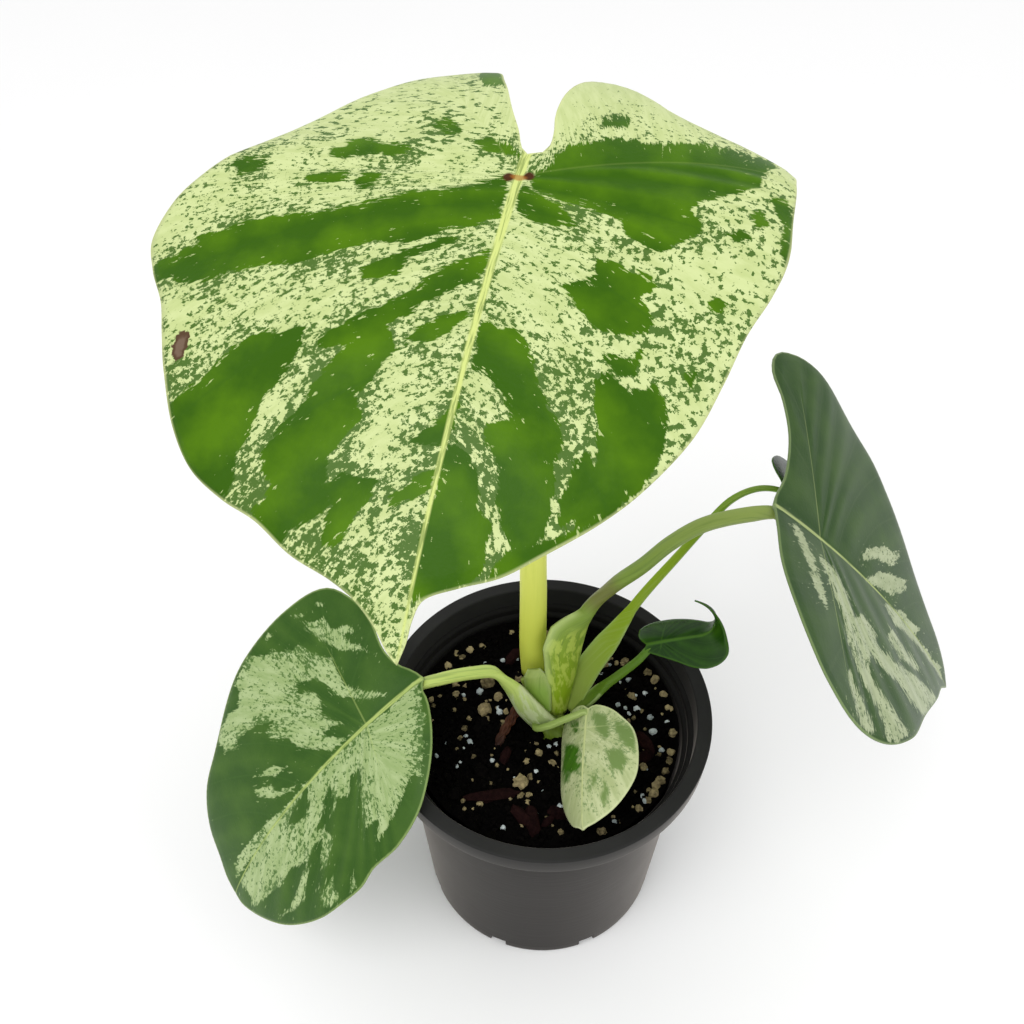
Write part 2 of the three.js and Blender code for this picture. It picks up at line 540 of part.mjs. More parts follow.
function potSolid() {
  const lipFoot = POT_HEIGHT - POT_LIP_HEIGHT;
  const innerLipFoot = lipFoot - 2;
  const insideNeck = POT_NECK_RADIUS - POT_WALL;
  const insideFoot = POT_FOOT_RADIUS - POT_WALL;
  const ringInside = POT_FOOT_RADIUS - POT_FOOT_RING;
  const profile = [
    [0, 0], [POT_CENTRE_PAD_RADIUS, 0], [POT_CENTRE_PAD_RADIUS + 1, POT_BASE_RISE],
    [ringInside - 1, POT_BASE_RISE], [ringInside, 0], [POT_FOOT_RADIUS - 0.8, 0], [POT_FOOT_RADIUS, 1],
    [POT_NECK_RADIUS, lipFoot], [POT_RIM_RADIUS - POT_LIP_ROUND, lipFoot],
    [POT_RIM_RADIUS - 0.5, lipFoot + 0.6], [POT_RIM_RADIUS, POT_HEIGHT - POT_LIP_ROUND],
    [POT_RIM_RADIUS - 0.6, POT_HEIGHT - 0.5],
    [POT_RIM_RADIUS - POT_LIP_ROUND, POT_HEIGHT], [POT_MOUTH_RADIUS + 0.8, POT_HEIGHT],
    [POT_MOUTH_RADIUS, POT_HEIGHT - 0.8], [POT_MOUTH_RADIUS - 0.6, innerLipFoot],
    [insideNeck, innerLipFoot - 1], [insideFoot, POT_FLOOR_TOP + 1], [insideFoot - 1, POT_FLOOR_TOP],
    [0, POT_FLOOR_TOP],
  ];
  const turned = new THREE.LatheGeometry(profile.map(([r, z]) => new THREE.Vector2(r, z)), POT_SIDES);
  turned.rotateX(Math.PI / 2);
  const drains = [];
  for (let k = 0; k < DRAIN_COUNT; k++) {
    const slot = new THREE.BoxGeometry(DRAIN_LENGTH, DRAIN_WIDTH, 2 * DRAIN_TOP);
    slot.translate(POT_FOOT_RADIUS + 1.5 - DRAIN_LENGTH / 2, 0, 0);
    slot.rotateZ(2 * Math.PI * (k + 0.5) / DRAIN_COUNT);
    drains.push(toSolid(slot));
  }
  return cutAway(toSolid(turned), drains);
}

// Potting mix: an uneven bed with perlite, pumice and bark bits sunk into its surface
const MIX_RINGS = 7;
const MIX_SIDES = 36;
const MIX_TOP_RADIUS = POT_NECK_RADIUS - POT_WALL - GAP - 0.8;
const MIX_FOOT_RADIUS = POT_FOOT_RADIUS - POT_WALL - GAP - 1.2;
const MOUND_HEIGHT = 1.6;        // the mix rises a little towards the stem
const MOUND_SPREAD = 16;
const BITS = 44;
const BIT_SMALLEST = 1.2;
const BIT_RANGE = 1.3;
const BARK_SHARE = 0.18;         // share of the bits that are long bark pieces
const BARK_STRETCH = 2.2;
const BARK_STICK = { x: -17, y: -26.5, length: 9, width: 2.2, height: 1.6, lean: 0.02 };

function mixHeight(x, y) {
  const ripple = Math.sin(x * 0.31 + 1) * Math.cos(y * 0.27) + 0.6 * Math.sin(x * 0.12 - y * 0.43 + 2);
  const mound = MOUND_HEIGHT * Math.exp(-(x * x + y * y) / MOUND_SPREAD ** 2);
  return SOIL_LEVEL + SOIL_SWELL * 0.6 * ripple + mound;
}

function mixBed() {
  const footHeight = POT_FLOOR_TOP + GAP;
  const positions = [0, 0, mixHeight(0, 0)];
  const addRing = (radius, height) => {
    for (let k = 0; k < MIX_SIDES; k++) {
      const angle = 2 * Math.PI * k / MIX_SIDES;
      const x = radius * Math.cos(angle);
      const y = radius * Math.sin(angle);
      positions.push(x, y, height ?? mixHeight(x, y));
    }
  };
  for (let ring = 1; ring <= MIX_RINGS; ring++) addRing(MIX_TOP_RADIUS * ring / MIX_RINGS);
  addRing(MIX_FOOT_RADIUS, footHeight);
  positions.push(0, 0, footHeight);
  const index = [];
  const at = (ring, k) => 1 + (ring - 1) * MIX_SIDES + (k % MIX_SIDES);
  const bottom = positions.length / 3 - 1;
  for (let k = 0; k < MIX_SIDES; k++) {
    index.push(0, at(1, k), at(1, k + 1));
    for (let ring = 1; ring <= MIX_RINGS; ring++) {
      index.push(at(ring, k), at(ring + 1, k), at(ring + 1, k + 1));
      index.push(at(ring, k), at(ring + 1, k + 1), at(ring, k + 1));
    }
    index.push(at(MIX_RINGS + 1, k), bottom, at(MIX_RINGS + 1, k + 1));
  }
  const geometry = new THREE.BufferGeometry();
  geometry.setAttribute("position", new THREE.Float32BufferAttribute(positions, 3));
  geometry.setIndex(index);
  return toSolid(geometry);
}

// A bit leans by up to lean, and three quarters of it lie under the surface
function mixBit({ x, y, length, width, height, lean }, turn) {
  const bit = new THREE.IcosahedronGeometry(1, 0);
  bit.scale(length, width, height);
  bit.rotateX(lean);
  bit.rotateZ(turn);
  bit.translate(x, y, mixHeight(x, y) + 0.25 * height);
  return toSolid(bit);
}

function pottingMixSolid(holes) {
  const random = seededRandom(11);
  const reach = MIX_TOP_RADIUS - 5;
  let solid = mixBed();
  for (let k = 0; k < BITS; k++) {
    const radius = reach * Math.sqrt(random());
    const angle = 2 * Math.PI * random();
    const width = BIT_SMALLEST + BIT_RANGE * random();
    const length = width * (random() < BARK_SHARE ? BARK_STRETCH : 1);
    const bit = {
      x: radius * Math.cos(angle), y: radius * Math.sin(angle), length, width, height: 0.9 * width,
      lean: 0.6 * random(),
    };
    solid = solid.add(mixBit(bit, 2 * Math.PI * random()));
  }
  solid = solid.add(mixBit(BARK_STICK, 0.12));
  return cutAway(solid, holes);
}

// Assembly. Each stalk is cut clear of the pieces that it grows against.
const solidOf = (stalk, grow = 0) => toSolid(stalkGeometry(stalk, grow));
const bladeOf = (leaf, thickness) => toSolid(bladeGeometry(leaf, thickness));
const clearBladeOf = (leaf, thickness) => bladeOf(leaf, thickness + 2 * GAP);

const stemClear = solidOf(stemStalk, GAP);
const largePetioleClear = solidOf(largePetiole, GAP);
const leftPetioleClear = solidOf(leftPetiole, SHEATH_GAP);
const rightPetioleClear = solidOf(rightPetiole, SHEATH_GAP);
const backPetioleClear = solidOf(backPetiole, SHEATH_GAP);
const curledPetioleClear = solidOf(curledPetiole, SHEATH_GAP);
const frontPetioleClear = solidOf(frontPetiole, SHEATH_GAP);
const rootClear = solidOf(rootStalk, GAP);

addPiece("pot", potSolid(), 0x17171a, 0.45);
addPiece("potting_mix", pottingMixSolid([stemClear, rootClear]), 0x1d1815, 0.95);
addPiece("stem", mainPiece(solidOf(stemStalk)), 0x6f8a35, 0.55);
addPiece("root", cutAway(solidOf(rootStalk), [stemClear, leftPetioleClear]), 0x7a4a22, 0.8);

const petiolePieces = [
  ["petiole_large", largePetiole, largeLeaf, BLADE_THICKNESS, [stemClear], 0xd5e07a],
  ["petiole_left", leftPetiole, leftLeaf, BLADE_THICKNESS, [stemClear, largePetioleClear], 0xa9bd6c],
  ["petiole_right", rightPetiole, rightLeaf, BLADE_THICKNESS,
    [stemClear, largePetioleClear, leftPetioleClear], 0x93ab55],
  ["petiole_back", backPetiole, backLeaf, SMALL_BLADE_THICKNESS,
    [stemClear, leftPetioleClear, rightPetioleClear], 0x7f9f3c],
  ["petiole_curled", curledPetiole, curledLeaf, SMALL_BLADE_THICKNESS,
    [stemClear, rightPetioleClear, backPetioleClear, clearBladeOf(frontLeaf, SMALL_BLADE_THICKNESS)],
    0x6d8d38],
  ["petiole_front", frontPetiole, frontLeaf, SMALL_BLADE_THICKNESS,
    [stemClear, leftPetioleClear, rightPetioleClear, backPetioleClear, curledPetioleClear], 0x9db35c],
];
for (const [name, stalk, leaf, thickness, neighbours, colour] of petiolePieces) {
  const tools = [...neighbours, clearBladeOf(leaf, thickness)];
  addPiece(name, cutAway(solidOf(stalk), tools), colour, 0.5);
}
const stubTools = [stemClear, largePetioleClear, leftPetioleClear, rightPetioleClear];
addPiece("sheath_stub", cutAway(solidOf(stubStalk), stubTools), 0x9aae5a, 0.6);

addPiece("blade_large", bladeOf(largeLeaf, BLADE_THICKNESS), 0x8fb04a, 0.42);
addPiece("blade_left", bladeOf(leftLeaf, BLADE_THICKNESS), 0x6f8f5c, 0.48);
addPiece("blade_right", bladeOf(rightLeaf, BLADE_THICKNESS), 0x4f6b4a, 0.45);
addPiece("blade_back", bladeOf(backLeaf, SMALL_BLADE_THICKNESS), 0x4a6b3a, 0.45);
addPiece("blade_curled", bladeOf(curledLeaf, SMALL_BLADE_THICKNESS), 0x2f6a1c, 0.35);
addPiece("blade_front", bladeOf(frontLeaf, SMALL_BLADE_THICKNESS), 0xc3d2a0, 0.48);

export default plant;
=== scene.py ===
# Potted variegated monstera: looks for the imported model, in the same frame as its CAD.
# Lengths in the tables are in millimetres and are scaled to metres where meshes are made.
import math

import bmesh
import bpy
import numpy as np
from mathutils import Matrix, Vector
from mathutils.noise import fractal


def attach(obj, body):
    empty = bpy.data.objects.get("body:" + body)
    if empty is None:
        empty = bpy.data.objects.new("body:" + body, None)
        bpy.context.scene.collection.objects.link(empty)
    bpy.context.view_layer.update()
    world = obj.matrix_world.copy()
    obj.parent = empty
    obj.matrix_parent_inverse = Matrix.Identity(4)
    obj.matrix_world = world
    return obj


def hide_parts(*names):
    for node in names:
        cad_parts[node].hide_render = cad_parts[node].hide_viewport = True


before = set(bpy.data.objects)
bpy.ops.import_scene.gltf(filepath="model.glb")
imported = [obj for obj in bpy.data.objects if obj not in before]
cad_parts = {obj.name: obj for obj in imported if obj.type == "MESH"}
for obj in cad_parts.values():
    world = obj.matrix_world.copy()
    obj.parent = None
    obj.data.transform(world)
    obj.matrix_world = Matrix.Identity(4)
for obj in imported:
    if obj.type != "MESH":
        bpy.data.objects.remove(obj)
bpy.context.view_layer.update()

MM = 0.001


# Camera, lights and floor, in metres

CAMERA_PLACE = (-0.011, -0.2104, 0.4152)
CAMERA_DIP = 47                  # degrees below the horizon
CAMERA_CLIP = (0.01, 20)
FOCAL_PIXELS = 1150              # focal length over the width of one of the 1024 pixels
FRAME_PIXELS = 1024
SENSOR_WIDTH = 36                # mm
SKY_STRENGTH = 0.85
LIGHTS = [                       # name, place, diameter and power in watts
    ("key", (-0.5, -0.7, 1.5), 0.9, 9),
    ("fill", (0.9, -0.3, 1.1), 1.0, 3),
]
FLOOR_REACH = 6
FLOOR_DROP = 0.0004              # the floor lies this far below the pot's foot
FLOOR_TONES = ((0.94, 0.94, 0.94), (0.97, 0.97, 0.97))


def make_camera():
    data = bpy.data.cameras.new("camera")
    data.sensor_width = SENSOR_WIDTH
    data.lens = SENSOR_WIDTH * FOCAL_PIXELS / FRAME_PIXELS
    data.clip_start, data.clip_end = CAMERA_CLIP
    camera = bpy.data.objects.new("camera", data)
    camera.location = CAMERA_PLACE
    camera.rotation_euler = (math.radians(90 - CAMERA_DIP), 0, 0)
    bpy.context.scene.collection.objects.link(camera)
    bpy.context.scene.camera = camera


def frame_axes():
    dip = math.radians(CAMERA_DIP)
    right = np.array([1.0, 0, 0])
    up = np.array([0, math.sin(dip), math.cos(dip)])
    forward = np.array([0, math.cos(dip), -math.sin(dip)])
    return right, up, forward


def to_frame(points):
    """Frame pixels and depth of points in mm"""
    right, up, forward = frame_axes()
    away = points - np.array(CAMERA_PLACE) / MM
    depth = away @ forward
    x = FRAME_PIXELS / 2 + FOCAL_PIXELS * (away @ right) / depth
    y = FRAME_PIXELS / 2 - FOCAL_PIXELS * (away @ up) / depth
    return x, y, depth


def frame_rays(pixels):
    """Directions from the camera through frame pixels"""
    right, up, forward = frame_axes()
    x, y = ((pixels - FRAME_PIXELS / 2) / FOCAL_PIXELS).T
    return x[:, None] * right - y[:, None] * up + forward


def make_light(name, place, diameter, power):
    data = bpy.data.lights.new(name, "AREA")
    data.shape = "DISK"
    data.size = diameter
    data.energy = power
    light = bpy.data.objects.new(name, data)
    light.location = place
    aim = -light.location
    light.rotation_mode = "QUATERNION"
    light.rotation_quaternion = aim.to_track_quat("-Z", "Y")
    bpy.context.scene.collection.objects.link(light)


def make_studio():
    scene = bpy.context.scene
    scene.view_settings.view_transform = "Standard"
    scene.view_settings.look = "None"
    scene.world = bpy.data.worlds.new("studio")
    scene.world.use_nodes = True
    background = scene.world.node_tree.nodes["Background"]
    background.inputs["Color"].default_value = (1, 1, 1, 1)
    background.inputs["Strength"].default_value = SKY_STRENGTH
    for light in LIGHTS:
        make_light(*light)


def make_floor():
    corners = [(x * FLOOR_REACH, y * FLOOR_REACH, 0) for x, y in ((-1, -1), (1, -1), (1, 1), (-1, 1))]
    mesh = bpy.data.meshes.new("floor")
    mesh.from_pydata(corners, [], [(0, 1, 2, 3)])
    mesh.materials.append(floor_material())
    floor = bpy.data.objects.new("floor", mesh)
    floor.location = (0, 0, -FLOOR_DROP)
    bpy.context.scene.collection.objects.link(floor)


def floor_material():
    n = Nodes("floor_paint")
    n.colour(n.mix(n.noise(n.coordinates(), 3, 2), *FLOOR_TONES))
    n.all_over({"Roughness": 0.9, "Specular IOR Level": 0.1})
    return n.material


# Material nodes

def linear(colour):
    """A colour given as 8-bit sRGB, as the shader wants it"""
    shares = np.array(colour, float) / 255
    return tuple(np.where(shares <= 0.04045, shares / 12.92, ((shares + 0.055) / 1.055) ** 2.4))


class Nodes:
    """A material's nodes. Inputs are numbers, linear colours or outputs of other nodes."""

    def __init__(self, name):
        self.material = bpy.data.materials.new(name)
        self.material.use_nodes = True
        self.tree = self.material.node_tree
        self.shader = self.tree.nodes["Principled BSDF"]

    def put(self, value, socket):
        if isinstance(value, bpy.types.NodeSocket):
            self.tree.links.new(value, socket)
        elif isinstance(value, tuple) and len(value) == 3 and socket.type == "RGBA":
            socket.default_value = (*value, 1)
        else:
            socket.default_value = value

    def add(self, kind, inputs, **settings):
        """A node with its settings made and its inputs set or linked"""
        node = self.tree.nodes.new("ShaderNode" + kind)
        for key, value in settings.items():
            setattr(node, key, value)
        for key, value in inputs.items():
            self.put(value, node.inputs[key])
        return node

    def coordinates(self):
        return self.add("TexCoord", {}).outputs["Object"]

    def number(self, name):
        return self.add("Attribute", {}, attribute_name=name).outputs["Fac"]

    def vector(self, name):
        return self.add("Attribute", {}, attribute_name=name).outputs["Vector"]

    def math(self, operation, a, b, clamp=False):
        return self.add("Math", {0: a, 1: b}, operation=operation, use_clamp=clamp).outputs[0]

    def times(self, a, b):
        return self.math("MULTIPLY", a, b)

    def total(self, first, *others):
        for other in others:
            first = self.math("ADD", first, other)
        return first

    def scale_about(self, value, factor, middle=0.5):
        """(value - middle) x factor"""
        return self.times(self.math("SUBTRACT", value, middle), factor)

    def blend(self, share, a, b):
        return self.add("Mix", {"Factor": share, "A": a, "B": b}).outputs["Result"]

    def axis(self, vector, name):
        return self.add("SeparateXYZ", {0: vector}).outputs[name]

    def scaled(self, vector, factors, shift=(0, 0, 0)):
        return self.add("Mapping", {"Vector": vector, "Scale": factors, "Location": shift}).outputs[0]

    def distance(self, vector, place):
        return self.add("VectorMath", {0: vector, 1: place}, operation="DISTANCE").outputs["Value"]

    def noise(self, vector, scale, detail, rough=0.55):
        inputs = {"Vector": vector, "Scale": scale, "Detail": detail, "Roughness": rough}
        return self.add("TexNoise", inputs).outputs["Fac"]

    def grain(self, vector, x_cycles, y_cycles, detail, rough=0.55, shift=(0, 0)):
        """Noise with its own number of cycles in a unit of x and of y"""
        return self.noise(self.scaled(vector, (x_cycles, y_cycles, 1), (*shift, 0)), 1, detail, rough)

    def step(self, value, low, high):
        """0 below low and 1 above high, smooth between; low above high turns it round"""
        inputs = {"Value": value, "From Min": low, "From Max": high}
        return self.add("MapRange", inputs, interpolation_type="SMOOTHSTEP").outputs["Result"]

    def mix(self, share, a, b):
        node = self.add("Mix", {"Factor": share}, data_type="RGBA")
        colours = [socket for socket in node.inputs if socket.type == "RGBA"]
        self.put(a, colours[0])
        self.put(b, colours[1])
        return next(socket for socket in node.outputs if socket.type == "RGBA")

    def cover(self, colour, paint, share, strength=1):
        """The colour with an 8-bit sRGB one over it, where and as strongly as share x strength says"""
        if strength != 1:
            share = self.times(share, strength)
        return self.mix(share, colour, linear(paint))

    def colour(self, colour):
        self.put(colour, self.shader.inputs["Base Color"])

    def roughness(self, value, low, high):
        node = self.add("MapRange", {"Value": value, "To Min": low, "To Max": high})
        self.put(node.outputs["Result"], self.shader.inputs["Roughness"])

    def bump(self, height, depth, strength=0.5):
        """depth is in mm"""
        node = self.add("Bump", {"Height": height, "Distance": depth * MM, "Strength": strength})
        self.put(node.outputs["Normal"], self.shader.inputs["Normal"])

    def all_over(self, values):
        """Numbers and colours that are the same all over, on the shader's own sockets"""
        for key, value in values.items():
            self.shader.inputs[key].default_value = value


# Meshes

def add_piece(name, points, faces, material, node, smooth=True, attributes=None, replaces=True):
    """A piece from points in mm, riding on the one body, in the place of its CAD node"""
    mesh = bpy.data.meshes.new(name)
    mesh.from_pydata((np.asarray(points, float) * MM).tolist(), [], faces)
    for key, values in (attributes or {}).items():
        values = np.asarray(values, np.float32)
        is_number = values.ndim == 1
        layer = mesh.attributes.new(key, "FLOAT" if is_number else "FLOAT_VECTOR", "POINT")
        layer.data.foreach_set("value" if is_number else "vector", values.ravel())
    mesh.polygons.foreach_set("use_smooth", [smooth] * len(mesh.polygons))
    mesh.materials.append(material)
    mesh.update()
    piece = bpy.data.objects.new(name, mesh)
    bpy.context.scene.collection.objects.link(piece)
    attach(piece, "root")
    if replaces:
        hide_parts(node)
    return piece


# Smooth lines through points: centripetal splines, measured by their length, as in the CAD

LENGTH_MARKS = 200


def smooth_line(points, parameters):
    points = np.array(points, float)
    knots = np.vstack([2 * points[0] - points[1], points, 2 * points[-1] - points[-2]])
    spans = len(points) - 1
    place = np.clip(parameters, 0, 1) * spans
    index = np.minimum(place.astype(int), spans - 1)
    w = (place - index)[:, None]
    p0, p1, p2, p3 = (knots[index + k] for k in range(4))
    d0, d1, d2 = (np.linalg.norm(b - a, axis=1)[:, None] ** 0.5 for a, b in ((p0, p1), (p1, p2), (p2, p3)))
    m1 = ((p1 - p0) / d0 - (p2 - p0) / (d0 + d1) + (p2 - p1) / d1) * d1
    m2 = ((p2 - p1) / d1 - (p3 - p1) / (d1 + d2) + (p3 - p2) / d2) * d1
    square = 3 * (p2 - p1) - 2 * m1 - m2
    cube = 2 * (p1 - p2) + m1 + m2
    return p1 + m1 * w + square * w ** 2 + cube * w ** 3


def line_length(points):
    """The parameters of evenly set marks and the length of the line up to each"""
    marks = np.linspace(0, 1, LENGTH_MARKS + 1)
    steps = np.linalg.norm(np.diff(smooth_line(points, marks), axis=0), axis=1)
    return marks, np.concatenate([[0], np.cumsum(steps)])


def parameters_at(points, shares):
    marks, runs = line_length(points)
    return np.interp(np.asarray(shares) * runs[-1], runs, marks)


def line_at(points, shares):
    return smooth_line(points, parameters_at(points, shares))


# Leaf blades: flat outlines with u across and v along the midrib, bent as in the CAD.
# Patches of a leaf's second colour are outlines read in the photograph's 1024 x 1024 frame.

def leaf_form(**values):
    """grid: veins over each side of a lobe, veins over the rest of a half, and strips across"""
    plain = dict(
        tilt=0, arch=0.3, back=0.8, fold=(0, 0), roll=(0.2, 0.2), lobe=0.07, edge=(0, 0), edge_start=50,
        tip_curl=0, tip_start=0, curls=(), wave=0, wave_width=60, wave_length=7, thickness=1.0,
        quilt=0.25, keel=0.9, rib_width=1.1, ribs=7, seed=0, patches=(), patches_are_green=True)
    return {**plain, **values}


# Green patches of the large leaf
LARGE_GREENS = [
    [(506, 180), (441, 195), (417, 196), (344, 211), (320, 218), (295, 217), (247, 225), (223, 236),
     (208, 235), (198, 249), (179, 257), (157, 269), (153, 283), (169, 276), (182, 283), (203, 282),
     (230, 271), (266, 264), (286, 264), (368, 242), (404, 242), (448, 229), (472, 225), (497, 218),
     (501, 208)],
    [(453, 240), (404, 261), (395, 274), (368, 278), (363, 271), (388, 259)],
    [(489, 252), (472, 261), (460, 264), (434, 276), (419, 291), (392, 305), (361, 317), (320, 344),
     (349, 346), (320, 383), (300, 417), (281, 431), (282, 434), (266, 451), (265, 470), (275, 484),
     (268, 504), (256, 512), (262, 526), (276, 546), (287, 532), (313, 515), (332, 496), (339, 504),
     (327, 526), (324, 543), (332, 546), (366, 498), (373, 482), (343, 476), (318, 493), (327, 456),
     (343, 434), (360, 417), (355, 397), (394, 347), (388, 332), (383, 327), (404, 315), (417, 305),
     (475, 278), (482, 269)],
    [(305, 329), (287, 371), (264, 392), (242, 448), (236, 455), (228, 492), (208, 500), (186, 482),
     (170, 445), (170, 410), (184, 397), (208, 380), (223, 363), (245, 344), (264, 337)],
    [(465, 315), (441, 320), (419, 332), (407, 344), (424, 341), (448, 332)],
    [(457, 404), (444, 420), (414, 442), (444, 442), (453, 425)],
    [(436, 470), (414, 482), (400, 493), (391, 504), (411, 496), (428, 484)],
    [(407, 151), (383, 148), (368, 143), (332, 154), (344, 158), (373, 154), (404, 155)],
    [(266, 161), (247, 161), (234, 167), (242, 174), (257, 171)],
    [(516, 155), (484, 150), (477, 145), (489, 143), (504, 148)],
    [(501, 71), (484, 75), (481, 81), (487, 87), (503, 85)],
    [(434, 127), (448, 124), (459, 133), (443, 132)],
    [(351, 174), (334, 175), (310, 180), (320, 184), (341, 179)],
    [(380, 179), (363, 179), (358, 184), (368, 186)],
    [(534, 180), (541, 174), (556, 167), (559, 156), (578, 149), (628, 143), (653, 149), (706, 148),
     (774, 167), (757, 177), (757, 189), (708, 200), (689, 209), (687, 218), (702, 225), (691, 237),
     (677, 245), (658, 251), (626, 235), (624, 220), (536, 192)],
    [(524, 189), (565, 215), (573, 225), (556, 225), (531, 220), (519, 211), (519, 198)],
    [(599, 264), (614, 266), (628, 276), (650, 278), (653, 288), (639, 298), (650, 324), (643, 334),
     (628, 334), (604, 329), (595, 324), (575, 303), (565, 288), (580, 286), (602, 291), (592, 281),
     (599, 274)],
    [(482, 330), (475, 366), (487, 372), (501, 386), (509, 403), (516, 425), (503, 424), (488, 428),
     (489, 442), (498, 459), (502, 482), (501, 526), (512, 543), (529, 546), (543, 532), (552, 487),
     (552, 467), (560, 442), (554, 423), (534, 383), (530, 358), (523, 341), (512, 334), (498, 330),
     (489, 324)],
    [(456, 442), (474, 473), (477, 487), (475, 510), (489, 526), (484, 543), (481, 571), (464, 583),
     (444, 591), (416, 599), (414, 588), (422, 554), (425, 532), (436, 510), (447, 451)],
    [(597, 381), (610, 376), (618, 389), (641, 396), (654, 389), (664, 414), (665, 439), (655, 465),
     (640, 484), (621, 502), (582, 532), (576, 515), (562, 524), (562, 498), (571, 487), (576, 465),
     (588, 456), (593, 470), (599, 467), (600, 437)],
    [(607, 514), (585, 532), (501, 580), (489, 583), (495, 571), (509, 554), (565, 538), (582, 526)],
    [(604, 358), (633, 363), (643, 354), (631, 373), (619, 375)],
    [(773, 203), (784, 206), (791, 223), (781, 225)],
    [(784, 228), (796, 228), (793, 249), (788, 266), (784, 254)],
    [(751, 218), (759, 215), (765, 225), (757, 229)],
    [(683, 378), (694, 375), (689, 387)],
    [(599, 122), (609, 120), (626, 122), (624, 126), (607, 127)],
    [(733, 237), (740, 235), (747, 238), (737, 242)],
    [(708, 309), (716, 303), (722, 308), (714, 312)],
]

# Cream patches of the left leaf. A patch in a patch is a hole.
LEFT_CREAMS = [
    [(247, 656), (291.5, 649), (300.5, 644.5), (316, 653.5), (334, 658), (338.5, 674), (343, 680.5),
     (356, 689.5), (394, 692.5), (385.5, 698.5), (369.5, 701.5), (334, 696), (327, 685), (316, 680.5),
     (298, 685), (300.5, 691.5), (316, 691.5), (323, 700.5), (323, 714), (334, 719.5), (345, 723),
     (334, 727.5), (325, 734), (343, 736), (352, 734), (345, 743), (331.5, 752), (316, 749.5),
     (298, 749.5), (289.5, 740.5), (269, 738.5), (264.5, 732), (273.5, 723), (260.5, 725), (244.5, 734),
     (235.5, 749.5), (224.5, 752), (219, 745), (220, 727.5), (229, 714), (238, 705), (240, 689.5),
     (231, 687), (240, 671.5)],
    [(302.5, 622.5), (325, 618), (334, 629), (352, 622.5), (356, 633.5), (345, 636), (385.5, 659),
     (367.5, 653.5), (356, 651.5), (343, 652.5), (331.5, 647), (305, 629)],
    [(291.5, 615.5), (305, 613.5), (307, 618), (296, 619)],
    [(314, 602.5), (327, 600), (325, 608), (316, 608)],
    [(262.5, 640.5), (269, 630), (277, 636), (269, 642.5)],
    [(256, 776.5), (273.5, 763), (285, 765.5), (305, 762), (289.5, 767.5), (278, 776.5), (262.5, 778.5)],
    [(253.5, 787.5), (273.5, 783), (278, 788.5), (298, 784), (289.5, 794.5), (273.5, 800), (258, 796.5)],
    [(419, 680.5), (423, 696), (425.5, 718.5), (425.5, 747.5), (423, 781), (414.5, 776.5),
     (407.5, 787.5), (401, 805.5), (389.5, 828), (378.5, 843.5), (374, 857), (378.5, 821), (365, 832),
     (360.5, 790), (360.5, 769.5), (354, 776.5), (349.5, 796.5), (338.5, 799), (334, 814.5), (327, 828),
     (336, 836.5), (334, 854.5), (325, 872.5), (320.5, 859), (323, 839), (316, 848), (311.5, 861),
     (309.5, 881.5), (305, 901.5), (296, 912.5), (273.5, 919.5), (289.5, 906), (298, 888), (307, 863.5),
     (294, 868), (282.5, 886), (253.5, 910.5), (251.5, 897), (240, 881.5), (251.5, 861), (235.5, 881.5),
     (238, 857), (249, 841), (264.5, 823.5), (285, 805.5), (302.5, 785.5), (325, 763), (345, 745),
     (365, 725), (385.5, 709.5)],
    [(307, 790), (298, 805.5), (291.5, 823.5), (305, 816.5), (309.5, 801)],
    [(331.5, 787.5), (325, 812), (318.5, 830), (327, 823.5), (334, 803)],
    [(314, 890.5), (321.5, 879), (323, 890.5), (335, 870), (338.5, 890.5), (343, 899), (334, 906),
     (323, 908), (320.5, 897)],
    [(354, 872.5), (360.5, 886), (352, 894.5), (348.5, 892.5)],
]

# Cream patches of the right leaf
RIGHT_CREAMS = [
    [(865, 549), (881.5, 547.5), (897.5, 554.5), (892, 565), (878.5, 559.5), (862.5, 559.5)],
    [(865, 581), (878.5, 573), (902.5, 581), (902.5, 590.5), (889.5, 594.5), (878.5, 586.5)],
    [(884, 605), (900, 613), (916, 629.5), (910.5, 632), (921.5, 648), (937.5, 667), (940, 677.5),
     (927, 659), (910.5, 640), (894.5, 624)],
    [(889.5, 632), (900, 645.5), (916, 669.5), (900, 659), (886.5, 637.5)],
    [(819.5, 559.5), (833, 573), (844, 594.5), (852, 621.5), (860, 616), (870.5, 629.5), (876, 648),
     (894.5, 664), (916, 680), (935, 699), (924, 715), (913.5, 704.5), (900, 685.5), (878.5, 664),
     (868, 650.5), (865, 669.5), (876, 691), (892, 715), (908, 734), (894.5, 742), (886.5, 739),
     (881.5, 715), (865, 688), (857, 669.5), (849, 645.5), (838.5, 602.5)],
    [(846.5, 672), (865, 715), (873, 734), (860, 725.5), (854.5, 707)],
    [(793, 525), (806.5, 546.5), (817, 575.5), (825, 608), (814.5, 589), (806.5, 562.5), (795.5, 535.5)],
]

# Green patches of the front leaf
FRONT_GREENS = [
    [(567, 744), (577, 745.5), (581, 753), (578.5, 762), (585, 765.5), (578.5, 771.5), (570.5, 772.5),
     (569, 781.5), (565, 783), (564.5, 765.5)],
    [(594.5, 712), (605.5, 717), (610.5, 731.5), (605.5, 740.5), (596.5, 729.5)],
    [(616, 720.5), (630.5, 728), (635.5, 740.5), (634, 749.5), (625, 744), (616, 731.5)],
    [(607, 751), (621.5, 749.5), (628.5, 760), (621.5, 770.5), (610.5, 769)],
    [(597.5, 770.5), (598, 779.5), (591, 790.5), (593, 778)],
    [(605.5, 783), (610.5, 790.5), (605.5, 804.5), (602, 799.5), (603.5, 790.5)],
    [(571.5, 719), (578.5, 724.5), (577, 731.5), (572.5, 726)],
]

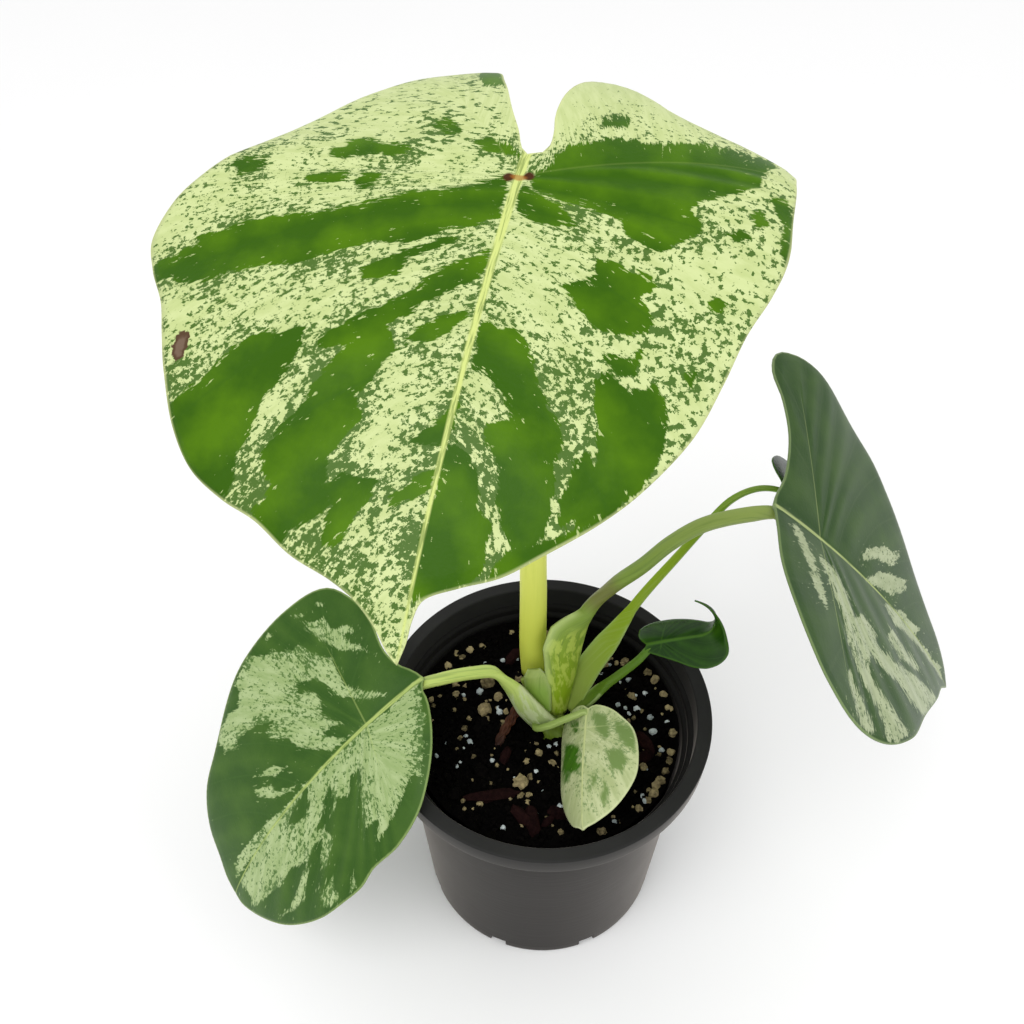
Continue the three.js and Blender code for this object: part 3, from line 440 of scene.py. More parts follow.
LARGE_LEAF = leaf_form(
    base=(-9.6, -0.2, 289.8), heading=-14, tilt=2, pitch=15, arch=0.3, back=0.7, fold=(2, 0),
    roll=(0.17, 0.22), lobe=0.05, edge=(0, 0.8), wave=0.8, curls=(((41.3, -32.9), -35.5, 8),),
    left=[(0, -7.4), (1.4, -8.6), (3.4, -14), (7, -22.5), (12.4, -38), (18.4, -52), (30, -51.5),
          (43, -41), (52, -23), (60.6, -7.6), (69.5, 5), (75, 13), (78, 23), (74.5, 31), (68, 40),
          (65, 47), (62.2, 55), (57.4, 66.2), (50.5, 74.5), (41.8, 79.3), (33.9, 82), (25, 87), (16, 90),
          (10.4, 92.8), (5.5, 97), (2.4, 100.8), (0, 102.8)],
    right=[(0, -7.4), (3.6, -8.8), (4, -14), (2.6, -22.3), (2.8, -37.3), (6, -49), (12.5, -53),
           (20, -47), (27, -39.6), (38, -36.5), (49, -37.6), (56.2, -38), (56.8, -26), (57.2, -12),
           (57.3, 4), (54.9, 15), (51.6, 25), (49.2, 36.2), (45.5, 48.8), (38.2, 61.4), (31.8, 69),
           (22.2, 77.6), (15.8, 82.8), (8.4, 86.4), (2.4, 90), (1.2, 94), (0.9, 98.5), (0, 102.8)],
    hub=0, lobe_rib=((21.2, -28), (53.7, -25.7)), lobe_share=(0.262, 0.432), quilt=0.3, keel=1.2,
    rib_width=1.5, ribs=8, seed=3, grid=(36, 152, 56), patches=LARGE_GREENS)

LEFT_LEAF = leaf_form(
    base=(-39.9, -2.5, 114.8), heading=-56, tilt=5, pitch=22, arch=0.43, back=0.8, fold=(-5, -1),
    roll=(0.1, 0.23), wave=0.7, wave_width=45,
    left=[(0, -1.4), (4, 0), (9, 2.8), (16, 3.8), (26, 1.9), (36, 2.2), (47, 7.5), (52, 25),
          (49.2, 43.5), (43.6, 60.6), (36, 76.5), (30.5, 88.8), (22, 98.5), (12.5, 103.2), (6.5, 106.4),
          (3, 107.2), (0, 107.6)],
    right=[(0, -1.4), (3, 1), (7, 1.6), (15.8, 5.8), (24.5, 12.7), (32.6, 23.2), (36, 35.6),
           (35.6, 47.2), (36.9, 54), (35.9, 62.6), (33, 75), (25.4, 89), (15, 99.5), (5, 106.6),
           (2, 107.4), (0, 107.6)],
    hub=22, lobe_rib=((31, 18), (14.2, 25.9)), lobe_share=(0.38, 0.381), seed=8,
    grid=(24, 98, 44), patches=LEFT_CREAMS, patches_are_green=False)

RIGHT_LEAF = leaf_form(
    base=(64.2, 11.6, 178.8), heading=84, pitch=39, arch=0.2, back=0.8, fold=(-6, -7),
    roll=(0.05, 0.06), wave=0.7, wave_width=55,
    left=[(0, -1.6), (3, -2), (9, -2.2), (22, -2.8), (33, -1.1), (46.5, 2.6), (57, 7.4), (63, 14.2),
          (64.4, 22), (62.4, 33.3), (54.7, 45.3), (37, 62.2), (20, 80), (9, 91), (3.4, 99), (0, 104)],
    right=[(0, -1.6), (3, -1.6), (13.4, 2), (30, 3.4), (42.5, 1), (54, -2.8), (64, -1), (68.4, 6.5),
           (68.6, 14.8), (65.6, 25), (55.2, 46.2), (44.6, 56.2), (34.4, 66.6), (24.2, 77.2), (17.6, 86.4),
           (12.2, 96), (6.5, 101.8), (0, 104)],
    hub=18, lobe_rib=((50.3, 17.5), (50, 8)), lobe_share=(0.398, 0.375), seed=14,
    grid=(24, 98, 44), patches=RIGHT_CREAMS, patches_are_green=False)

BACK_LEAF_SIDE = [(0, -2), (3.5, -5), (9, -5.5), (15, 0), (17, 9), (15, 20), (10, 31), (4.5, 39), (0, 45)]
BACK_LEAF = leaf_form(
    base=(73.6, 34.6, 163), heading=90, pitch=46, arch=0.3, fold=(4, 2), roll=(0.3, 0.2), wave=0.3,
    wave_width=20, left=BACK_LEAF_SIDE, right=BACK_LEAF_SIDE, hub=0, lobe_rib=((8.5, 0.8), (8.5, 0.8)),
    lobe_share=(0.352, 0.352), thickness=0.9, quilt=0.1, keel=0.5, rib_width=0.9, ribs=5, seed=21,
    grid=(10, 50, 20))

CURLED_LEAF = leaf_form(
    base=(32, 3, 126.4), heading=74, tilt=3, pitch=-32, arch=0.1, back=1, lobe=0, fold=(40, -13),
    roll=(2, 2.6), tip_start=16.6, tip_curl=-7.2,
    left=[(0, -1.5), (1.5, -2.2), (2.6, -1), (4, 2), (6.5, 7.5), (9.2, 13), (10, 17.5), (8.8, 21.5),
          (5, 25), (2.4, 29), (1.2, 32), (0, 37)],
    right=[(0, -1.5), (3, -4.5), (6.5, -5), (8.5, -2), (9, 4), (8, 10), (6, 16), (4, 20.5), (2.4, 24.5),
           (1.3, 30), (0, 37)],
    hub=4, lobe_rib=((1.9, 3.4), (6.1, 4.4)), lobe_share=(0.134, 0.372), thickness=0.9, quilt=0.1,
    keel=0.4, rib_width=0.7, ribs=4, seed=33, grid=(10, 48, 24))

FRONT_LEAF = leaf_form(
    base=(13.2, -6.9, 103.9), heading=-16, tilt=-41, pitch=11.5, arch=0.33, back=1.5, lobe=0,
    fold=(11, 5), roll=(1.2, 0.86), wave=0.3, wave_width=16, wave_length=4,
    left=[(0, -1), (3, -3), (7.5, -3.8), (12, -3), (14.8, 1), (15.4, 7), (15, 16.2), (12.9, 24.6),
          (9.7, 31.4), (5.2, 36), (1.6, 37.2), (0, 38)],
    right=[(0, -1), (2.5, -1.8), (8.5, 0.2), (13.3, 4), (16.4, 7.2), (18.2, 11.6), (18.7, 17.2),
           (18, 22.5), (14.8, 28.4), (10.5, 32.8), (4.3, 36.2), (1.4, 37.2), (0, 38)],
    hub=6, lobe_rib=((9.1, 3.1), (8.9, 6.3)), lobe_share=(0.314, 0.327), thickness=0.9, quilt=0.12,
    keel=0.4, rib_width=0.8, ribs=5, seed=40, grid=(12, 60, 30), patches=FRONT_GREENS)

BEND_STEPS = 24
RIB_COLOUR_SHARE = 0.65          # width of the midrib's colour as a share of its keel's
FIRST_VEIN = 0.48
VEIN_START_POWER = 1.9
VEIN_BEND_REACH = 0.05
VEIN_BEND_RISE = 0.28
BEND_SHARE = 0.25
LOBE_RIBS = 2.5                  # lateral veins on each side of a lobe's rib
LOBE_TURN_WIDTH = 10             # a lobe's turn is given for this width
ACROSS_POWER = 1.3               # above 1 the grid is finer near the midrib
EDGE_WIDTH = 3.0                 # the blade thins towards the margin over this width
EDGE_THICKNESS = 0.5             # share of the thickness left at the margin
QUILT_FADE = 8                   # the quilting rises over this distance from the midrib and the margin
RIB_SHARPNESS = 2
RIB_AT_TIP = 0.15                # shares of the midrib's width and height left at the tip
KEEL_AT_TIP = 0.2
GROOVE_SHARE = 0.25              # depth of the midrib's groove on top as a share of the keel below
VEIN_DRIFT = 0.12                # shifts the noise across the leaf, so that its halves differ
FAR = 1e6
FAR_INSIDE = 20.0                # depth in mm that stands for a blade without patches
MARGIN_MARKS = 300
WELD_STEPS = 200                 # points that share a cell of 1/200 mm are one
WELD_SHIFT = 0.37                # keeps round coordinates off the cells' borders


def follow(points, run, slope_at, ahead, up):
    """Moves the points on by a run that slopes down more or less on its way"""
    for k in range(BEND_STEPS):
        slope = slope_at(run * (k + 0.5) / BEND_STEPS)
        points += (np.cos(slope) * run / BEND_STEPS)[:, None] * ahead
        points -= (np.sin(slope) * run / BEND_STEPS)[:, None] * up


def bend_blade(leaf, u, v, lift):
    """Points of the bent blade, lifted off its middle surface"""
    flat_u, flat_v = u.copy(), v.copy()
    drop = np.zeros_like(u)
    for through, facing, radius in leaf["curls"]:
        out_u, out_v = math.cos(math.radians(facing)), math.sin(math.radians(facing))
        beyond = np.maximum((flat_u - through[0]) * out_u + (flat_v - through[1]) * out_v, 0)
        angle = beyond / radius
        shift = radius * np.sin(angle) - beyond
        flat_u += shift * out_u
        flat_v += shift * out_v
        drop += radius * (1 - np.cos(angle))
    heading, tilt = math.radians(leaf["heading"]), math.radians(leaf["tilt"])
    forward = np.array([math.sin(heading), -math.cos(heading), 0])
    level = np.array([-math.cos(heading), -math.sin(heading), 0])
    up = np.array([0, 0, 1.0])
    side = level * math.cos(tilt) + up * math.sin(tilt)
    rise = up * math.cos(tilt) - level * math.sin(tilt)

    def pitch_at(run):
        turn = np.where(run > 0, leaf["arch"], leaf["back"]) * run
        return np.radians(leaf["pitch"] + turn + leaf["tip_curl"] * np.maximum(0, run - leaf["tip_start"]))

    points = np.zeros(u.shape + (3,)) + np.array(leaf["base"], float)
    follow(points, flat_v, pitch_at, forward, rise)
    pitch = pitch_at(flat_v)
    normal = np.sin(pitch)[:, None] * forward + np.cos(pitch)[:, None] * rise
    hand = np.where(flat_u >= 0, 1.0, -1.0)
    half = np.where(flat_u >= 0, 0, 1)
    across = np.abs(flat_u)
    fold, roll, edge = (np.array(leaf[key])[half] for key in ("fold", "roll", "edge"))

    def slope_at(width):
        lobe_turn = leaf["lobe"] * np.maximum(0, -flat_v) * width / LOBE_TURN_WIDTH
        return np.radians(fold + roll * width + lobe_turn + edge * np.maximum(0, width - leaf["edge_start"]))

    outward = hand[:, None] * side
    follow(points, across, slope_at, outward, normal)
    wave = leaf["wave"] * (across / leaf["wave_width"]) ** 2 * np.sin(v / leaf["wave_length"] + hand)
    slope = slope_at(across)
    off = lift + wave - drop
    points += (np.cos(slope) * off)[:, None] * normal
    points += (np.sin(slope) * off)[:, None] * outward
    return points


def vein_grid(leaf, half, lobe_veins, veins, strips):
    """For every vein and strip of one half: flat u and v, share of the margin, distance along the vein in mm
    and number of lateral veins passed"""
    outline = leaf["left"] if half == 0 else leaf["right"]
    lobe = leaf["lobe_share"][half]
    steps = np.arange(lobe_veins) / lobe_veins
    rest = np.linspace(0, 1, veins + 1)
    past_lobe = lobe + (FIRST_VEIN - lobe) * steps
    along = np.concatenate([lobe * steps, past_lobe, FIRST_VEIN + (1 - FIRST_VEIN) * rest])
    passed = np.concatenate([steps, 1 + steps, 2 + rest * leaf["ribs"] / LOBE_RIBS]) * LOBE_RIBS
    out = np.concatenate([steps, 1 - steps, np.zeros(veins + 1)])
    share = np.concatenate([np.zeros(2 * lobe_veins), rest])
    rib_u, rib_v = leaf["lobe_rib"][half]
    hub, tip = leaf["hub"], outline[-1][1]
    root_u = rib_u * out
    root_v = hub + (rib_v - hub) * out + (tip - hub) * share ** VEIN_START_POWER
    bend = np.minimum(1, share / BEND_SHARE)
    margin_u, margin_v = line_at(outline, along).T
    bend_u = root_u + (0.5 + VEIN_BEND_REACH * bend) * (margin_u - root_u)
    bend_v = root_v + (0.5 - VEIN_BEND_RISE * bend) * (margin_v - root_v)
    w = np.linspace(0, 1, strips + 1)[None, :] ** ACROSS_POWER
    near = 1 - w
    u = near ** 2 * root_u[:, None] + 2 * w * near * bend_u[:, None] + w ** 2 * margin_u[:, None]
    v = near ** 2 * root_v[:, None] + 2 * w * near * bend_v[:, None] + w ** 2 * margin_v[:, None]
    reach = w * np.hypot(margin_u - root_u, margin_v - root_v)[:, None]
    sign = 1 if half == 0 else -1
    return sign * u, v, along[:, None] + 0 * w, reach, passed[:, None] + 0 * w


def patch_depth(x, y, patches):
    """Distance to the nearest patch border, above 0 inside the patches. A patch in a patch is a hole."""
    inside = np.zeros(x.shape, bool)
    nearest = np.full(x.shape, FAR)
    for patch in patches:
        ring = np.array(patch, float)
        for (ax, ay), (bx, by) in zip(ring, np.roll(ring, -1, axis=0)):
            span_x, span_y = bx - ax, by - ay
            share = np.clip(((x - ax) * span_x + (y - ay) * span_y) / (span_x ** 2 + span_y ** 2), 0, 1)
            nearest = np.minimum(nearest, np.hypot(x - ax - share * span_x, y - ay - share * span_y))
            crosses = (ay > y) != (by > y)
            inside ^= crosses & (x < ax + (y - ay) * span_x / (span_y if span_y else 1))
    return np.where(inside, nearest, -nearest)


def green_depth(leaf, points):
    """How deep in mm the points lie inside the green, below 0 in the cream"""
    if not leaf["patches"]:
        return np.full(len(points), FAR_INSIDE)
    x, y, depth = to_frame(points)
    distance = patch_depth(x, y, leaf["patches"]) * depth / FOCAL_PIXELS
    return distance if leaf["patches_are_green"] else -distance


def margin_distance(leaf, u, v):
    shares = np.linspace(0, 1, MARGIN_MARKS)
    rim = np.vstack([line_at(leaf["left"], shares), line_at(leaf["right"], shares) * np.array([-1, 1])])
    distance = np.full(u.shape, FAR)
    for rim_u, rim_v in rim:
        distance = np.minimum(distance, np.hypot(u - rim_u, v - rim_v))
    return distance


def top_faces(grid):
    """Faces over both halves of a blade, without the doubled corners where the grid closes up"""
    faces = []
    for half, cells in enumerate(grid):
        corners = np.stack([cells[:-1, :-1], cells[1:, :-1], cells[1:, 1:], cells[:-1, 1:]], -1)
        for quad in corners.reshape(-1, 4).tolist():
            ring = [p for k, p in enumerate(quad) if p != quad[k - 1]]
            if len(ring) > 2 and len(set(ring)) == len(ring):
                faces.append(ring[::-1] if half == 0 else ring)
    return faces


def twice(values):
    """The same values for the top and for the underside"""
    return np.concatenate([values, values])


def make_blade(name, leaf, material, node):
    lobe_veins, veins, strips = (count for count in leaf["grid"])
    grids = [vein_grid(leaf, half, lobe_veins, veins, strips) for half in (0, 1)]
    rows = len(grids[0][0])
    u, v, along, reach, passed = (np.concatenate([grid[k].ravel() for grid in grids]) for k in range(5))
    half = np.repeat([0, 1], rows * (strips + 1))
    keys = np.floor(np.stack([u, v], 1) * WELD_STEPS + WELD_SHIFT).astype(int)
    _, first, place = np.unique(keys, axis=0, return_index=True, return_inverse=True)
    u, v, along, reach, passed, half = (values[first] for values in (u, v, along, reach, passed, half))

    to_tip = np.clip(1 - v / leaf["left"][-1][1], 0, 1)
    rib_width = leaf["rib_width"] * (RIB_AT_TIP + (1 - RIB_AT_TIP) * to_tip)
    rib = np.exp(-RIB_SHARPNESS * (u / rib_width) ** 2)
    edge = margin_distance(leaf, u, v)
    thin = EDGE_THICKNESS + (1 - EDGE_THICKNESS) * np.minimum(1, edge / EDGE_WIDTH)
    half_thickness = leaf["thickness"] / 2 * thin
    swell = leaf["quilt"] * (0.5 - 0.5 * np.cos(2 * math.pi * passed))
    swell *= np.minimum(1, reach / QUILT_FADE) * np.minimum(1, edge / QUILT_FADE)
    keel = leaf["keel"] * rib * (KEEL_AT_TIP + (1 - KEEL_AT_TIP) * to_tip)
    top = bend_blade(leaf, u, v, swell + half_thickness - GROOVE_SHARE * keel)
    under = bend_blade(leaf, u, v, swell - half_thickness - keel)

    count = len(u)
    grid = place.reshape(2, rows, strips + 1)
    faces = top_faces(grid)
    rim = grid[0, :, -1].tolist() + grid[1, -2:0:-1, -1].tolist()
    faces += [[p + count for p in reversed(face)] for face in faces]
    faces += [[a, a + count, b + count, b] for a, b in zip(rim, rim[1:] + rim[:1])]
    runs = np.array([line_length(leaf[key])[1][-1] for key in ("left", "right")])
    attributes = {
        "flat": np.stack([twice(u), twice(v), np.zeros(2 * count)], 1),
        "vein": np.stack([twice(along * runs[half]), twice(reach), twice(leaf["seed"] + VEIN_DRIFT * u)], 1),
        "green": twice(green_depth(leaf, bend_blade(leaf, u, v, np.zeros(count)))),
        "edge": twice(edge),
        "rib": twice(np.abs(u) - RIB_COLOUR_SHARE * rib_width),
        "passed": twice(passed),
        "reach": twice(reach),
        "under": np.repeat([0.0, 1.0], count),
    }
    add_piece(name, np.concatenate([top, under]), faces, material, node, attributes=attributes)


# Leaf markings. A grain is noise: its cycles in a mm one way and the other, detail, roughness and shift.
# A pair holds the value where a marking is nil and the one where it is full.

WOBBLE_GRAIN = (0.3, 0.18, 3)
STREAK_GRAIN = (1.1, 0.2, 5, 0.7)
CLOUD_GRAIN = (0.06, 0.06, 2)
CLOUD_GAIN = 0.28                # flecks come thicker and thinner in clouds
LONG_FLECKS = (0.95, 0.42, 5, 0.7, (7, 3))
SHORT_FLECKS = (0.8, 0.8, 5, 0.7, (5, 2))
FLECKS_NEAR_GREEN = (-6, 0)      # mm into the green
FLECK_GAIN = 0.04
FLECK_LEVEL = (0.567, 0.58)
FLECK_STRENGTH = 0.92
ROUND_FLECKS = (0.6, 0.6, 5, 0.65)
ROUND_FLECK_LOSS = 0.018
ROUND_FLECK_SIDE = (-12, -30)    # mm left of the midrib
LOBE_FLECKS = (0.38, 0.72, 5, 0.65, (2, 9))
LOBE_FLECK_LOSS = 0.01
LOBE_SIDE = (-2, 8)              # mm left of the midrib
LOBE_START = (8, -22)            # mm from the hub towards the tip
SPECKS = (0.9, 0.34, 4, 0.6, (31, 9))
SPECKS_NEAR_CREAM = (5, 0)       # mm into the green
SPECK_GAIN = 0.1
SPECK_LEVEL = (0.73, 0.75)
SPECK_STRENGTH = 0.8
TONE_GRAIN = (0.07, 0.07, 4)
TONE_CONTRAST = 3
BRIGHT_BETWEEN_VEINS = 1.4
VEIN_LINE = (0.045, 0)           # from a vein, as a share of their spacing
VEIN_STRENGTH = 0.22
DULL_SIDE = (1, -2)              # mm left of the midrib
CREAM_GRAIN = (0.3, 0.07, 5, 0.6, (3, 40))
CREAM_LEVEL = (0.35, 0.65)
LOBE_RIB_LINE = (0.6, 0.2)       # mm along a vein from its root
RIB_GRAIN = (1.8, 0.12, 3)
RIB_STREAKS = (0.46, 0.62)
RIB_STREAK_STRENGTH = 0.55
RIB_BORDER = (0.3, -0.3)         # mm past the rib's side
MARGIN_LINE = (0.8, 0.2)         # mm from the margin
MARGIN_STRENGTH = 0.7
UNDER_STRENGTH = 0.55
LEAF_SKIN = (1.1, 1.1, 4)
LEAF_SKIN_DEPTH = 0.12


def leaf_markings(n, flat, vein, look):
    """Shares of the green patches, of the flecks in the cream and of the specks in the green"""
    wobble = n.scale_about(n.grain(vein, *WOBBLE_GRAIN), look["wobble"])
    streaks = n.scale_about(n.grain(vein, *STREAK_GRAIN), look["streak"])
    depth = n.total(n.number("green"), wobble, streaks, look["spread"])
    patch = n.step(depth, -look["softness"], look["softness"])
    clouds = n.scale_about(n.grain(flat, *CLOUD_GRAIN), CLOUD_GAIN)
    near_green = n.times(n.step(depth, *FLECKS_NEAR_GREEN), FLECK_GAIN)
    towards_tip = n.times(n.axis(flat, "Y"), look["fleck_rise"])
    level = n.total(clouds, near_green, look["flecks"], towards_tip)
    flecks = n.blend(0.5, n.grain(vein, *LONG_FLECKS), n.grain(flat, *SHORT_FLECKS))
    if look["round_flecks"]:
        dots = n.math("SUBTRACT", n.grain(flat, *ROUND_FLECKS), ROUND_FLECK_LOSS)
        flecks = n.blend(n.step(n.axis(flat, "X"), *ROUND_FLECK_SIDE), flecks, dots)
        dots = n.math("SUBTRACT", n.grain(flat, *LOBE_FLECKS), LOBE_FLECK_LOSS)
        on_lobe = n.times(n.step(n.axis(flat, "Y"), *LOBE_START), n.step(n.axis(flat, "X"), *LOBE_SIDE))
        flecks = n.blend(on_lobe, flecks, dots)
    in_cream = n.step(n.total(flecks, level), *FLECK_LEVEL)
    near_cream = n.times(n.step(depth, *SPECKS_NEAR_CREAM), SPECK_GAIN)
    in_green = n.step(n.total(n.grain(vein, *SPECKS), near_cream), *SPECK_LEVEL)
    return patch, in_cream, in_green


def leaf_material(name, look):
    n = Nodes(name)
    flat, vein = n.vector("flat"), n.vector("vein")
    patch, in_cream, in_green = leaf_markings(n, flat, vein, look)
    tone = n.grain(flat, *TONE_GRAIN)
    from_vein = n.math("PINGPONG", n.number("passed"), 0.5)
    between_veins = n.times(from_vein, BRIGHT_BETWEEN_VEINS)
    bright = n.math("ADD", n.scale_about(tone, TONE_CONTRAST), between_veins, clamp=True)
    green = n.cover(linear(look["deep"]), look["bright"], bright)
    if look["dull"]:
        green = n.cover(green, look["dull"], n.step(n.axis(flat, "X"), *DULL_SIDE))
    green = n.cover(green, look["fleck"], n.step(from_vein, *VEIN_LINE), VEIN_STRENGTH)
    green = n.cover(green, look["cream"], in_green, SPECK_STRENGTH)
    pale_share = n.step(n.grain(vein, *CREAM_GRAIN), *CREAM_LEVEL)
    pale = n.cover(linear(look["cream"]), look["pale_cream"], pale_share)
    pale = n.cover(pale, look["fleck"], in_cream, FLECK_STRENGTH)
    colour = n.mix(patch, pale, green)
    colour = n.cover(colour, look["rib"], n.step(n.number("reach"), *LOBE_RIB_LINE), look["lobe_rib"])
    streaks = n.step(n.grain(flat, *RIB_GRAIN), *RIB_STREAKS)
    rib = n.cover(linear(look["rib"]), look["fleck"], streaks, RIB_STREAK_STRENGTH)
    colour = n.mix(n.step(n.number("rib"), *RIB_BORDER), colour, rib)
    colour = n.cover(colour, look["margin"], n.step(n.number("edge"), *MARGIN_LINE), MARGIN_STRENGTH)
    if look["scars"]:
        colour = scars(n, flat, colour)
    n.colour(n.cover(colour, look["under"], n.number("under"), UNDER_STRENGTH))
    n.roughness(tone, *look["gloss"])
    n.bump(n.grain(flat, *LEAF_SKIN), LEAF_SKIN_DEPTH)
    n.all_over({"Specular IOR Level": look["specular"]})
    return n.material


SCAR_DOTS = ((2, 0.5, 0), (-2, -0.5, 0))
SCAR_DOT_BORDER = (1.5, 0.8)
SCAR_BAR_STRETCH = (0.45, 1, 1)
SCAR_BAR_CENTRE = (0, 0.1, 0)
SCAR_BAR_BORDER = (1.0, 0.5)
SPOT_STRETCH = (1.5, 0.8, 1)
SPOT_CENTRE = (89.5, 39.5, 0)    # on the stretched leaf
SPOT_RAGGEDNESS = 4


def scars(n, flat, colour):
    """The large leaf's marks: two brown dots joined by a bar at the petiole, and a dry spot at the margin"""
    for place in SCAR_DOTS:
        colour = n.cover(colour, (70, 38, 14), n.step(n.distance(flat, place), *SCAR_DOT_BORDER))
    bar = n.step(n.distance(n.scaled(flat, SCAR_BAR_STRETCH), SCAR_BAR_CENTRE), *SCAR_BAR_BORDER)
    colour = n.cover(colour, (160, 100, 36), bar, 0.7)
    ragged = n.scale_about(n.grain(flat, 0.5, 0.5, 3), SPOT_RAGGEDNESS)
    spot = n.total(n.distance(n.scaled(flat, SPOT_STRETCH), SPOT_CENTRE), ragged)
    colour = n.cover(colour, (84, 62, 44), n.step(spot, 2.9, 2.5))
    return n.cover(colour, (112, 92, 76), n.step(spot, 2.0, 0.8))


# Leaf looks. Colours are 8-bit sRGB, and lengths are in mm.

def leaf_look(**values):
    """flecks and fleck_rise: more flecks in the cream, all over and per mm towards the tip.
    lobe_rib: strength of the lobe ribs' colour.
    spread, wobble, streak and softness: growth, waves, streaks and blur of the green patches' borders.
    dull: the green of the right half, where it differs."""
    plain = dict(
        flecks=0.0, fleck_rise=0.0, round_flecks=False, spread=0.6, wobble=2.5, streak=3.5, softness=0.2,
        lobe_rib=0.3, dull=None, gloss=(0.36, 0.5), specular=0.2, scars=False)
    return {**plain, **values}


LARGE_LOOK = leaf_look(
    deep=(50, 90, 0), bright=(76, 117, 0), cream=(186, 200, 134), pale_cream=(200, 212, 150),
    fleck=(52, 92, 12), rib=(202, 214, 128), margin=(206, 214, 150), under=(128, 150, 76),
    flecks=0.015, fleck_rise=0.0006, round_flecks=True, scars=True, lobe_rib=0.06, specular=0.1)
LEFT_LOOK = leaf_look(
    deep=(46, 82, 16), bright=(64, 98, 28), cream=(146, 168, 108), pale_cream=(168, 186, 132),
    fleck=(66, 102, 36), rib=(170, 188, 106), margin=(150, 172, 104), under=(112, 136, 84),
    flecks=0.025, spread=0.5)
RIGHT_LOOK = leaf_look(
    deep=(40, 70, 22), bright=(58, 86, 34), cream=(152, 164, 124), pale_cream=(170, 180, 142),
    fleck=(76, 98, 56), rib=(168, 182, 116), margin=(136, 156, 104), under=(98, 120, 78),
    flecks=-0.02, spread=-0.3, gloss=(0.32, 0.44), specular=0.16)
DARK_LOOK = leaf_look(
    deep=(22, 56, 4), bright=(40, 78, 8), cream=(110, 140, 80), pale_cream=(130, 156, 100),
    fleck=(60, 98, 34), rib=(64, 104, 26), margin=(58, 98, 22), under=(70, 106, 40), gloss=(0.18, 0.3))
FRONT_LOOK = leaf_look(
    deep=(56, 104, 14), bright=(72, 118, 30), cream=(172, 184, 130), pale_cream=(196, 204, 156),
    fleck=(128, 150, 96), rib=(204, 212, 150), margin=(214, 222, 170), under=(140, 162, 100),
    spread=0.2, streak=3, softness=0.8, dull=(114, 140, 76))


# Stalks: a skin over cross-sections, as in the CAD, with more of them
# sections: (share of the length, half width, depth, channel, shift)

SECTION_STEPS = 20
STALK_ROWS = 80
SHEATH_EDGE = 0.7
TURN_START = 0.3
TURN_END = 0.55
TANGENT_NUDGE = 1e-4
RIDGES = 6
RIDGE_TWIST = 0.5                # radians in a mm
RIDGE_KNOTS = 0.9                # radians in a mm
RIM_SHARPNESS = 8


def stalk_form(route, facing, sections, facing_top=None, end=1.0, seed=0, ridges=0.0):
    return dict(route=route, facing=facing, sections=sections, facing_top=facing_top or facing, end=end,
                seed=seed, ridges=ridges)


STEM = stalk_form(
    route=[(3.5, -6, 64), (1.8, -1.5, 84), (-0.6, 5, 93), (-3, 10.6, 99.5)], facing=(0, 1, 0.2),
    sections=[(0, 4.6, 4.3, 1, 0), (0.6, 5.4, 5.1, 1, 0), (1, 4.8, 4.5, 1, 0)], seed=1, ridges=0.15)
LARGE_PETIOLE = stalk_form(
    route=[(-3.4, 11.6, 100.6), (-4.1, 13.8, 110), (-4.4, 14.4, 140), (-5.8, 12, 200), (-8.2, 6.5, 262),
           (-9.4, 1.6, 284), (-9.7, -1.4, 292)], facing=(0, 1, 0.1),
    sections=[(0, 4.5, 4.2, 0.9, 0), (0.25, 4.1, 3.8, 0.8, 0), (0.9, 3.1, 2.9, 0.75, 0),
              (1, 3.3, 3.0, 0.75, 0)], end=0.984, seed=2)
LEFT_PETIOLE = stalk_form(
    route=[(0, -4.2, 92.4), (-5.2, -3, 99.6), (-11, 0, 108), (-16, 1.6, 113.6), (-24, 0.8, 114.3),
           (-33.7, -1.3, 114), (-39.6, -2.4, 112.6), (-44, -5.2, 110)],
    facing=(0.4, 0.9, -0.2), facing_top=(0.4, 0.3, 1),
    sections=[(0, 5.0, 2.6, -0.45, 0), (0.16, 4.9, 2.6, -0.4, 0), (0.34, 3.1, 2.1, 0, 0),
              (0.5, 2.3, 2.0, 0.3, 0), (0.85, 2.1, 1.9, 0.3, 0), (1, 1.4, 1.2, 0.3, 0)], seed=5)
RIGHT_PETIOLE = stalk_form(
    route=[(3.6, 1.8, 92), (6, 6.4, 103), (8.6, 10.4, 113.5), (11.4, 13.8, 125), (14.6, 15.2, 132.3),
           (20, 15.6, 139.6), (28.1, 15.6, 148.6), (36, 16.1, 158.7), (44.9, 15.5, 167.6),
           (57, 13.3, 174.4), (63.4, 11.8, 176.6), (68, 11.4, 173.4)],
    facing=(-0.45, 0.9, 0), facing_top=(-0.8, -0.2, 0.6),
    sections=[(0, 4.2, 3.0, -0.4, 0.4), (0.12, 5.8, 3.6, -0.5, 2.2), (0.22, 7.4, 3.8, -0.55, 4.8),
              (0.29, 7.0, 3.6, -0.5, 4.6), (0.325, 4.8, 3.0, -0.3, 2.2), (0.34, 2.7, 2.4, 0.5, 0),
              (0.6, 2.3, 2.2, 0.6, 0), (0.9, 2.2, 2.0, 0.5, 0), (1, 1.5, 1.2, 0.4, 0)], seed=9)
